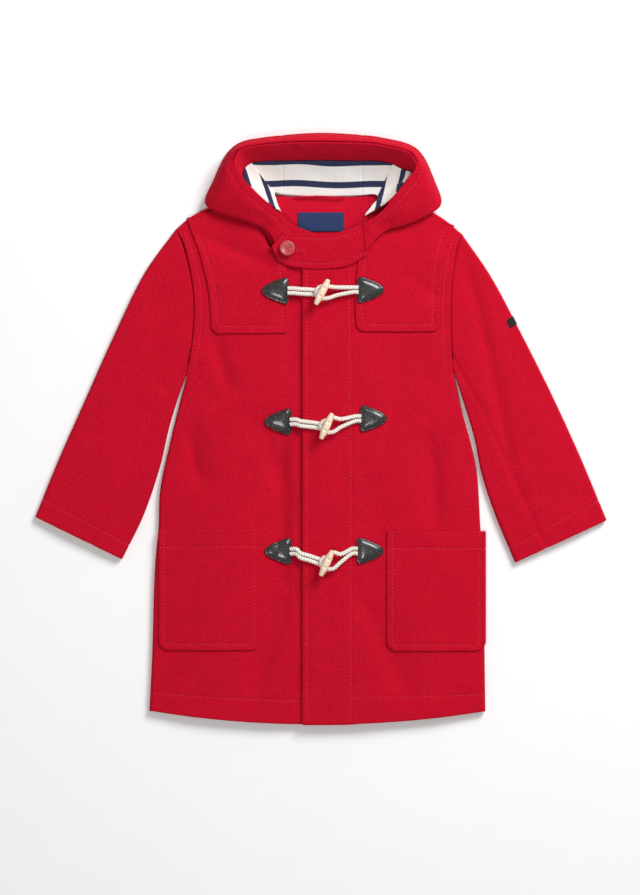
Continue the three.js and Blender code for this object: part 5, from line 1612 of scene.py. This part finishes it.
    def crown(self) -> Piece:
        """Builds the rest of the crown, folded under the opening as one soft stack."""
        a = np.array(steps(6.3, 16.7, 70))
        outer, rim = self.wool(a, np.full(a.shape, 1.5)), self.wool(a, np.full(a.shape, 3.0))
        way = rim[:, :2] - outer[:, :2]
        way /= np.linalg.norm(way, axis=1, keepdims=True)
        tuck = (self.table("roll", a) + self.table("tuck", a) + 1)[:, None]
        foot = np.column_stack([self.table("foldX", a), self.table("foldY", a)]) + way * tuck
        top = self.facing(a, np.ones(a.shape))
        inner, mid = (self.lining(a, np.full(a.shape, share)) for share in (0.62, 0.3))
        shoulder = mix(foot, top[:, :2], 0.3)
        zero = np.zeros(a.shape)
        section = [
            (foot, zero), (foot + way * 0.8, zero + 6), (shoulder, zero + 15.5),
            (top[:, :2], top[:, 2] - CLOTH.facing - 3.6), (mid[:, :2], mid[:, 2] - CLOTH.jersey - 1.2),
            (inner[:, :2], inner[:, 2] - CLOTH.jersey - 1.2), (inner[:, :2], zero), (mid[:, :2], zero),
            (top[:, :2], zero)]
        rings = np.stack([np.column_stack([plan, z]) for plan, z in section], axis=1)
        n, count = rings.shape[1], len(a)
        faces = []
        for j in range(count - 1):
            for i in range(n):
                p, q = j * n + i, j * n + (i + 1) % n
                faces.append([p, q, q + n, p + n])
        faces += [list(range(n))[::-1], list((count - 1) * n + np.arange(n))]
        return piece_from("crown_fold", rings.reshape(-1, 3), faces, Finish.INSIDE, "hood_fold")

    def reach(self, a: Array) -> Array:
        """Returns the distance on the plan from rim to fold, taken as least_reach where it is less."""
        wide = np.hypot(self.table("rimX", a) - self.table("foldX", a),
                        self.table("rimY", a) - self.table("foldY", a))
        return np.maximum(wide, self.least_reach)

    def build(self, sewing: Sewing) -> list[Piece]:
        """Builds the hood and lays the rim's stitches.

        Args:
            sewing: takes the stitches.

        Returns:
            The wool panels, the facing, the lining's panels and the crown.
        """
        def relief(a: Array, v: Array, p: Array) -> Array:
            """Returns creases, the rim's sewn groove and the low of the seams."""
            high = ease(1.6, 2.2, v)
            from_rim = (3 - v) * self.reach(a)
            rim = -0.5 * np.exp(-(((from_rim - self.stitches_in) / 1.7) ** 2)) * (v > 2)
            seams = sum(np.exp(-(((a - s) * self.station_length / 1.8) ** 2))
                        for s in (self.seam_right, self.seam_left))
            x, y = p[..., 0], p[..., 1]
            return (creased(self.creases, x, y) + 0.5 * ripple(x * 1.6, y * 1.6)) * high + rim - 0.4 * seams

        rows = spread((0, 1, 4), (1, 2, 10), (2, 2.6, 14), (2.6, 3, 18))
        pieces = []
        sides = (("side_right", 0, self.seam_right, 150), ("center", self.seam_right, self.seam_left, 44),
                 ("side_left", self.seam_left, self.last_station, 140))
        for part, start, end, count in sides:
            node = "hood_" + part
            shell = Shell(self.wool, steps(start + self.half_gap, end - self.half_gap, count), rows,
                          CLOTH.wool, -1, relief)
            piece = shell.build("cloth_" + node, Finish.WOOL, node)
            pieces.append(piece)
            first = start + (0.4 if start == 0 else 0.05)
            last = end - (0.4 if end == self.last_station else 0.05)
            a = np.array(steps(first, last, count * 2))
            sewing.add(line_on(self.wool, a, 3 - self.stitches_in / self.reach(a), -0.45, -1))

        def facing_relief(a: Array, v: Array, p: Array) -> Array:
            """Returns the small creases of the facing."""
            low = ease(0, 0.2, v) * ease(0, 0.15, 1 - v)
            return creased(self.facing_creases, p[..., 0], p[..., 1]) * low

        shell = Shell(self.facing, steps(self.bowl_from, self.bowl_to, 230), steps(0, 1, 18),
                      CLOTH.facing, -1, facing_relief)
        facing = shell.build("cloth_hood_facing", Finish.INSIDE, "hood_facing")
        pieces.append(facing)
        panels = (("right", self.bowl_from, self.seam_right, 120),
                  ("center", self.seam_right, self.seam_left, 66),
                  ("left", self.seam_left, self.bowl_to, 120))
        for part, start, end, count in panels:
            node = "hood_lining_" + part
            shell = Shell(self.lining, steps(start + self.half_gap, end - self.half_gap, count),
                          steps(0, 1, 26), CLOTH.jersey, -1, self.lining_relief)
            piece = shell.build("jersey_" + part, Finish.JERSEY, node, uv=self.stripes)
            pieces.append(piece)
        pieces.append(self.crown())
        return pieces


@dataclass
class Neck:
    """Neck band with its pointed tab and button, back neck facing, hanger loop and bare label."""

    band: Table = field(default_factory=lambda: Table("lowX lowY lowZ topX topY topZ point", [
        [0, -51, 199.5, 18.4, -45.5, 233.5, 24.5, 11], [0.18, -40, 194.8, 18, -30, 232.5, 24, 5],
        [0.36, -23, 192.2, 17.8, -12, 232, 23, 1.5], [0.6, 3, 191.2, 17.8, 8, 231.5, 22.6, 0],
        [0.85, 32, 195, 19, 30, 236, 22.8, 0], [1, 50.5, 205, 20.8, 46, 242, 23.6, 0]]))
    facing_top: float = 4.6
    button: tuple[float, float, float] = (-41.0, 215.0, 24.2)
    hanger: tuple[tuple[float, float, float], ...] = (
        (-31, 279, 7.75), (-26, 278.3, 8.4), (0, 277.4, 8.8), (24, 277.8, 8.4), (28, 278.4, 7.8))

    def band_top(self, u: Array, v: Array) -> Array:
        """Returns the band's outer face: u from the tab's point to the left, v from low to top edge."""
        point = self.band("point", u) * (1 - np.abs(2 * v - 1))
        read = {k: self.band(k, u) for k in self.band.curves}
        return np.stack([mix(read["lowX"], read["topX"], v) - point, mix(read["lowY"], read["topY"], v),
                         mix(read["lowZ"], read["topZ"], v) + 1.2 * np.sin(math.pi * v)], axis=-1)

    def facing(self, s: Array, t: Array) -> Array:
        """Returns the facing of the back neck."""
        half = mix(47, 52.5, t)
        rise = 3.4 * np.abs(2 * s - 1) ** 5 * ease(0.4, 0.9, t)
        return np.stack([mix(-half - 1, half + 3, s), mix(170, 277 + 1.2 * (2 * s - 1) ** 2, t),
                         self.facing_top + rise], axis=-1)

    def make_button(self) -> Piece:
        """Builds the button: a dished disc with four sewn holes."""
        profile = [(0.0, 2.15), (1.2, 2.12), (1.5, 1.2), (2.6, 1.2), (2.95, 2.12), (4.6, 2.15),
                   (5.6, 2.35), (6.6, 2.9), (7.6, 3.15), (8.5, 2.95), (9.1, 2.3), (9.3, 1.6), (9.1, 0.8),
                   (8.2, 0.15), (7.8, 0.0), (0.0, 0.0)]
        sides, points, faces = 64, [], []
        angles = np.arange(sides) * 2 * math.pi / sides
        x0, y0, z0 = self.button
        for r, z in profile[1:-1]:
            hole = 0.5 + 0.5 * np.cos(4 * angles)
            inner = 1.2 < r < 2.95
            depth = np.where(hole > 0.62, z, 2.13) if inner else np.full(sides, z)
            points.append(np.column_stack([x0 + r * np.cos(angles + 0.4), y0 + r * np.sin(angles + 0.4),
                                           z0 + depth]))
        rings = len(points)
        points = np.concatenate(points + [np.array([[x0, y0, z0 + 2.15], [x0, y0, z0]])])
        ring = np.arange(sides)
        faces += bands(rings, sides)
        top, bottom, last = rings * sides, rings * sides + 1, (rings - 1) * sides
        faces += [[top, int(i), int((i + 1) % sides)] for i in ring]
        faces += [[bottom, int(last + (i + 1) % sides), int(last + i)] for i in ring]
        return piece_from("coat_button", points, faces, Finish.BUTTON, "button")

    def build(self, sewing: Sewing) -> list[Piece]:
        """Builds the neck's pieces and lays their stitches.

        Args:
            sewing: takes the stitches.

        Returns:
            Band, facing, label, hanger loop and button.
        """
        def relief(u: Array, v: Array, p: Array) -> Array:
            """Returns the low under the button, the sewn groove and small waves."""
            edge = np.minimum(np.minimum(v, 1 - v) * 38, u * 90 + 2)
            groove = -0.45 * np.exp(-(((edge - 5.0) / 1.5) ** 2))
            x0, y0, _ = self.button
            dent = -0.8 * np.exp(-(((p[..., 0] - x0) ** 2 + (p[..., 1] - y0) ** 2) / 120))
            return groove + dent + 0.45 * ripple(p[..., 0] * 2, p[..., 1] * 2)

        columns = spread((0, 0.12, 22), (0.12, 1.035, 88))
        shell = Shell(self.band_top, columns, steps(0, 1, 44), 2.0, 1, relief)
        band = shell.build("cloth_neck_band", Finish.WOOL, "neck_band")
        for v in (0.14, 0.86):
            u = np.array(steps(0.03, 0.97, 90))
            sewing.add(line_on(self.band_top, u, v, -0.3, 1))
        v = np.array(steps(0.14, 0.86, 36))
        sewing.add(line_on(self.band_top, 0.035, v, -0.2, 1))
        hole = [(-29.4, 212.3), (-25, 212.0), (-19.8, 210.6)]
        eye = []
        for x, y in SewnLine(tuple(hole)).even(0.8):
            eye.append([x, y + 0.9, 25.1 - 0.03 * (x + 29)])
        for x, y in SewnLine(tuple(hole[::-1])).even(0.8):
            eye.append([x, y - 0.9, 25.0 - 0.03 * (x + 29)])
        sewing.add(np.array(eye))
        shell = Shell(self.facing, steps(0, 1, 60), steps(0, 1, 60), CLOTH.facing, 1,
                      lambda s, t, p: 0.5 * ripple(p[..., 0] * 2.4, p[..., 1] * 2.4) - 0.25)
        facing = shell.build("cloth_back_neck_facing", Finish.INSIDE, "back_neck_facing")
        plate = Plate(lambda s, t: (mix(-28, 27, s), mix(236.5, 259, t)),
                      lambda x, y: self.facing_top + 0.15 + 0 * x,
                      steps(0, 1, 24), steps(0, 1, 12), thickness=0.6)
        label = plate.build("neck_ribbon_label", Finish.LABEL, "neck_label",
                            uv=lambda u, v, p, _: p[..., :2])
        loop = Rope(np.array(self.hanger), 1.7, strands=1, turn=60, sides=12)
        hanger = loop.build("hanger_tube", "hanger_loop")
        Finish.INSIDE.dress(hanger)
        return [band, facing, label, hanger, self.make_button()]


@dataclass
class Fastening:
    """A toggle fastening: two domed leather patches, two cord legs, a cord loop, a wooden toggle."""

    name: str
    x: float
    y: float
    lean: float
    right: tuple[float, float]
    left: tuple[float, float]
    loop_y: float
    patch_length: float = 32.4
    patch_edge: float = 1.6
    patch_crown: float = 5.4
    tip_round: float = 4.5
    cord: float = 2.7
    apart: float = 2.85
    loop_apart: float = 6.9
    toggle_length: float = 34.0
    toggle_radius: float = 4.6
    hole_out: float = 5.2
    outline: Curve = field(default_factory=lambda: Curve(
        [0, 0.06, 0.16, 0.32, 0.5, 0.73, 0.92, 1], [12, 15.3, 16.8, 15.6, 13.0, 9.3, 6.2, 4.8]))

    def patch(self, side: str, x: float, y: float, out: float, carrier: Height,
              sewing: Sewing) -> Piece:
        """Builds one patch.

        Args:
            side: "right" or "left".
            x: place of its flat side.
            y: place of its middle.
            out: 1 or -1, the way that its tip points.
            carrier: height of what it lies on.
            sewing: takes its edge stitches.

        Returns:
            The piece.
        """
        along = np.concatenate([[0, 0.02, 0.05], np.linspace(0.09, 0.9, 24),
                                [0.93, 0.95, 0.965, 0.978, 0.988, 0.995, 1.0]])
        half = np.minimum(self.outline(along),
                          np.sqrt(2 * self.tip_round * self.patch_length * (1 - along)))
        half = np.maximum(0.4, half)
        rim = np.concatenate([np.column_stack([x + out * along * self.patch_length, y - half]),
                              np.column_stack([x + out * along * self.patch_length, y + half])[::-1]])
        centre = np.array([x + out * self.patch_length * 0.4, y])
        edge, crown = self.patch_edge, self.patch_crown
        rings = [(0.985, 0.0), (1.0, 0.35), (1.0, edge * 0.9), (0.985, edge + 0.25), (0.95, edge + 0.75),
                 (0.9, edge + 1.15), (0.87, edge + 1.05), (0.84, edge + 1.3), (0.76, crown * 0.68),
                 (0.62, crown * 0.84), (0.45, crown * 0.93), (0.25, crown * 0.98)]
        points = [np.array([[*centre, float(carrier(*centre)) + CLOTH.seam]])]
        for scale, height in rings:
            plan = mix(centre, rim, scale)
            points.append(np.column_stack([plan, carrier(plan[:, 0], plan[:, 1]) + CLOTH.seam + height]))
        points.append(np.array([[*centre, float(carrier(*centre)) + CLOTH.seam + self.patch_crown]]))
        n, ring = len(rim), np.arange(len(rim))
        faces, raw = [[0, int(1 + (i + 1) % n), int(1 + i)] for i in ring], [1] * n
        faces += [face[:1] + face[:0:-1] for face in bands(len(rings), n, 1)]
        raw += [1] * n * 2 + [0] * n * (len(rings) - 3)
        k = 1 + (len(rings) - 1) * n
        top = k + n
        faces += [[int(k + i), int(k + (i + 1) % n), top] for i in ring]
        raw += [0] * n
        if out < 0:
            faces = [f[::-1] for f in faces]
        piece = piece_from(f"leather_{side}_{self.name}", np.concatenate(points), faces, Finish.LEATHER,
                           f"patch_{side}_{self.name}", seconds=np.array(raw), other=Finish.EDGE)
        inner = mix(centre, rim, 0.87)
        inner = np.concatenate([inner, inner[:1]])
        height = carrier(inner[:, 0], inner[:, 1]) + CLOTH.seam + self.patch_edge + 1.2
        sewing.add(np.column_stack([inner, height]))
        return piece

    def toggle(self, z: float) -> Piece:
        """Builds the wooden toggle, turned in the middle, with its two dark cord holes."""
        half = self.toggle_length / 2
        shape = Curve([-1, -0.985, -0.95, -0.82, -0.6, -0.3, 0, 0.3, 0.6, 0.82, 0.95, 0.985, 1],
                      [0.3, 1.9, 2.6, 3.1, 3.85, 4.45, 4.6, 4.45, 3.85, 3.1, 2.6, 1.9, 0.3])
        along = np.concatenate([[-1, -0.993, -0.985, -0.97], np.linspace(-0.94, 0.94, 64),
                                [0.97, 0.985, 0.993, 1]])
        sides = 28
        angles = np.arange(sides) * 2 * math.pi / sides
        radius = np.maximum(0.2, shape(along))
        bark = 1 + 0.012 * np.sin(3 * angles[None, :] + 5 * along[:, None])
        local = np.stack([radius[:, None] * np.cos(angles) * bark,
                          np.repeat(along[:, None] * half, sides, 1),
                          radius[:, None] * np.sin(angles) * bark * 0.97], axis=-1)
        for place in (-self.hole_out, self.hole_out):
            off = np.hypot(local[..., 0], local[..., 1] - place)
            pit = np.exp(-((off / 1.25) ** 2)) * (local[..., 2] > 0)
            local[..., 2] -= 2.2 * pit
        lean = math.radians(self.lean) - math.pi / 2
        turn = np.array([[math.cos(lean), math.sin(lean), 0], [-math.sin(lean), math.cos(lean), 0],
                         [0, 0, 1]])
        points = local.reshape(-1, 3) @ turn + np.array([self.x, self.y, z])
        ring, faces = np.arange(sides), bands(len(along), sides)
        faces += [list(ring), list((len(along) - 1) * sides + ring[::-1])]
        uv = np.column_stack([np.tile(angles * 4.0, len(along)), np.repeat(along * half, sides)])
        return piece_from("wood_toggle_" + self.name, points, faces, Finish.WOOD, "toggle_" + self.name,
                          uv=uv)

    def build(self, body: Body, dark: Sewing) -> list[Piece]:
        """Builds the whole fastening on the fronts.

        Args:
            body: gives the height of the fronts.
            dark: takes the stitches of the patches.

        Returns:
            Both patches, the legs, the loop and the toggle.
        """
        lift = 2.5 if self.name == "top" else 0.0
        level = -52.0

        def under(x: Array, y: Array) -> Array:
            """Returns what the right patch lies on: it bridges the dip beside the placket."""
            return body.under(np.minimum(x, level), y) + lift

        def over(x: Array, y: Array) -> Array:
            """Returns what the left patch lies on."""
            return body.over(x, y) + lift

        pieces = [self.patch("right", *self.right, -1, under, dark),
                  self.patch("left", *self.left, 1, over, dark)]
        on_cloth = CLOTH.seam + self.cord
        placket = CLOTH.edge_height + body.fill + body.placket_lift
        loop_z = placket + on_cloth + 2 * self.cord + CLOTH.seam
        toggle_z = loop_z + self.cord + CLOTH.seam + self.toggle_radius
        lean = math.radians(self.lean)
        ax, ay = math.cos(lean), math.sin(lean)
        (rx, ry), (lx, ly) = self.right, self.left
        edge = LEFT.free_edge
        for which, side in (("upper", 1), ("lower", -1)):
            patch_z = float(body.under(level, ry)) + lift + on_cloth + 0.5
            leg_z, off = placket + on_cloth, side * self.apart
            px, py = self.x + ax * off, self.y + ay * off
            path = np.array([
                [rx - 1.5, ry + off, patch_z], [rx + 6, ry + off, max(patch_z, mix(patch_z, leg_z, 0.6))],
                [edge - 3, mix(ry, self.y, 0.35) + off, max(leg_z, patch_z) + 0.3],
                [edge + 8, mix(ry, self.y, 0.6) + off, leg_z + 0.1], [px - 4.5, py, leg_z + 0.1],
                [px - 0.8, py, leg_z + 1.2], [px, py, loop_z],
                [px, py, toggle_z - self.toggle_radius + 0.6]])
            leg = f"leg_{which}_{self.name}"
            pieces.append(Rope(path, self.cord).build("cotton_" + leg, "cord_" + leg))
        left_z = float(body.over(lx, ly)) + lift + on_cloth + 0.4
        wide, high = self.loop_apart, self.loop_apart + 0.3
        turns = [[self.x + wide * math.cos(a), self.y + high * math.sin(a), loop_z]
                 for a in np.linspace(math.pi / 2, 3 * math.pi / 2, 9)]
        middle = mix(ly, self.y, 0.6)
        path = np.array([
            [lx + 1.5, ly + self.apart, left_z], [lx - 5, ly + self.apart, left_z],
            [self.x + 17, middle + self.apart + 2, loop_z - 1.6],
            [self.x + 8, self.loop_y + self.loop_apart - 0.8, loop_z],
            *turns, [self.x + 8, self.y - self.loop_apart + 0.2, loop_z],
            [self.x + 17, middle - self.apart - 2, loop_z - 1.6],
            [lx - 5, ly - self.apart, left_z], [lx + 1.5, ly - self.apart, left_z]])
        pieces.append(Rope(path, self.cord).build(f"cotton_loop_{self.name}", f"cord_loop_{self.name}"))
        pieces.append(self.toggle(toggle_z))
        return pieces


@dataclass
class SleeveTag:
    """A small bare ribbon tag on the outer fold of the left sleeve, square to the fold."""

    size: float = 10.2
    thick: float = 0.6
    at: float = 0.35
    slant: float = 0.6

    def build(self) -> Piece:
        """Builds the tag."""
        roll = LEFT_SLEEVE.height / 2

        def tag(s: Array, t: Array) -> Array:
            """Returns the tag's points on the sleeve."""
            turn = mix(-0.45, 0.055, s)
            inward = np.where(turn < 0, roll * (1 - np.sin((turn + 1) * math.pi)), roll + turn * 115)
            along = self.size * (t - 0.5) - self.slant * inward
            return LEFT_SLEEVE.surface(turn, self.at + along / LEFT_SLEEVE.length)

        shell = Shell(moved_out(tag, CLOTH.seam + self.thick), steps(0, 1, 20), steps(0, 1, 10),
                      self.thick, 1)
        piece = shell.build("ribbon_tag", Finish.TAG, "sleeve_tag",
                            uv=lambda u, v, p, _: np.stack([u * 12, v * 9], axis=-1))
        return piece


@dataclass
class Studio:
    """Floor, soft light and the camera straight above."""

    distance: float = 3.2
    sensor: float = 36.0
    middle: tuple[float, float] = (-1.8, -23.4)

    def light(self, name: str, place: tuple[float, float, float], size: float, watts: float,
              aim: tuple[float, float, float] = (0, 0, 0)) -> None:
        """Adds a soft square light.

        Args:
            name: its name.
            place: where it hangs, in metres.
            size: its side, in metres.
            watts: its strength.
            aim: the point it faces.
        """
        data = bpy.data.lights.new(name, "AREA")
        data.shape, data.size, data.energy = "SQUARE", size, watts
        lamp = bpy.data.objects.new(name, data)
        lamp.location = place
        direction = np.array(aim) - np.array(place)
        flat = math.hypot(direction[0], direction[1])
        lamp.rotation_euler = (math.atan2(flat, -direction[2]), 0,
                               math.atan2(direction[1], direction[0]) - math.pi / 2)
        bpy.context.scene.collection.objects.link(lamp)

    def build(self) -> None:
        """Builds the floor, lights, sky and camera."""
        shader = Shader("pale_floor")
        grain = shader.noise(shader.place(), 30, 2.0)
        shader.finish(shader.blend(grain, (0.93, 0.93, 0.93), (0.95, 0.95, 0.95)), 0.8, None, 0)
        mesh = bpy.data.meshes.new("floor")
        mesh.from_pydata([(-6, -6, 0), (6, -6, 0), (6, 6, 0), (-6, 6, 0)], [], [(0, 1, 2, 3)])
        floor = bpy.data.objects.new("floor", mesh)
        mesh.materials.append(shader.material)
        bpy.context.scene.collection.objects.link(floor)
        world = bpy.data.worlds.new("soft_room")
        world.use_nodes = True
        world.node_tree.nodes["Background"].inputs[0].default_value = (1, 1, 1, 1)
        world.node_tree.nodes["Background"].inputs[1].default_value = 0.3
        bpy.context.scene.world = world
        bpy.context.scene.view_settings.view_transform = "Standard"
        self.light("key", (1.15, 1.5, 1.7), 1.1, 60)
        self.light("front", (-0.3, -0.75, 2.8), 0.7, 21)
        middle = Placing.metres(np.array([[*self.middle, 0.0]]))[0]
        data = bpy.data.cameras.new("above")
        data.sensor_fit, data.sensor_height = "VERTICAL", self.sensor
        data.lens = self.sensor * self.distance / (IMAGE_HIGH * PIXEL * 0.001)
        camera = bpy.data.objects.new("above", data)
        camera.location = (float(middle[0]), float(middle[1]), self.distance + 0.012)
        bpy.context.scene.collection.objects.link(camera)
        bpy.context.scene.camera = camera


POCKETS = (Pocket("right", -194.5, -74, -122.5, -266, 1.5, -140, 0.6),
           Pocket("left", 79, 196.5, -124.5, -267, 0, 134, 2.4))
YOKES = (
    Yoke("right", RIGHT, 114, Curve([114, 150, 200], [-38, -39.5, -42.5]),
         Curve([114, 160, 200, 228, 250], [-131, -134, -143, -154, -161])),
    Yoke("left", LEFT, 116, Curve([116, 160, 200], [42.5, 41, 44.5]),
         Curve([116, 160, 192, 216, 240], [141, 142, 144, 149, 155])),
)
FASTENINGS = (
    Fastening("top", 0.6, 162, 62.6, (-39.3, 164.4), (42.8, 165.4), 163),
    Fastening("middle", 6, 2, 66, (-36.1, 7.4), (46.1, 11.2), 6.2),
    Fastening("bottom", 6, -161.4, 64.6, (-35.9, -148), (42, -147.4), -155),
)


def main() -> None:
    """Builds the studio, then the coat from its cloth to its trims."""
    logging.basicConfig(level=logging.INFO, format="%(message)s")
    Studio().build()
    body = Body()
    red = Sewing("red_stitches", Finish.SEWING, 4.2, 2.3, 0.45)
    dark = Sewing("patch_stitches", Finish.DARK_SEWING, 2.6, 2.0, 0.3)
    built: list[tuple[str, list[Piece]]] = [
        ("body", body.build(red)),
        ("sleeves", RIGHT_SLEEVE.build(red) + LEFT_SLEEVE.build(red)),
        ("pockets", [pocket.build(body, red) for pocket in POCKETS]),
        ("yokes", [yoke.build(body, red) for yoke in YOKES]),
        ("hood", Hood().build(red)),
        ("neck", Neck().build(red)),
        ("fastenings", [piece for f in FASTENINGS for piece in f.build(body, dark)]),
        ("tag", [SleeveTag().build()]),
    ]
    built.append(("stitches", [red.build(), dark.build()]))
    for name, pieces in built:
        faces = sum(len(piece.data.polygons) for piece in pieces)
        LOG.info("%s: %d pieces, %d faces", name, len(pieces), faces)


if __name__ == "__main__":
    main()
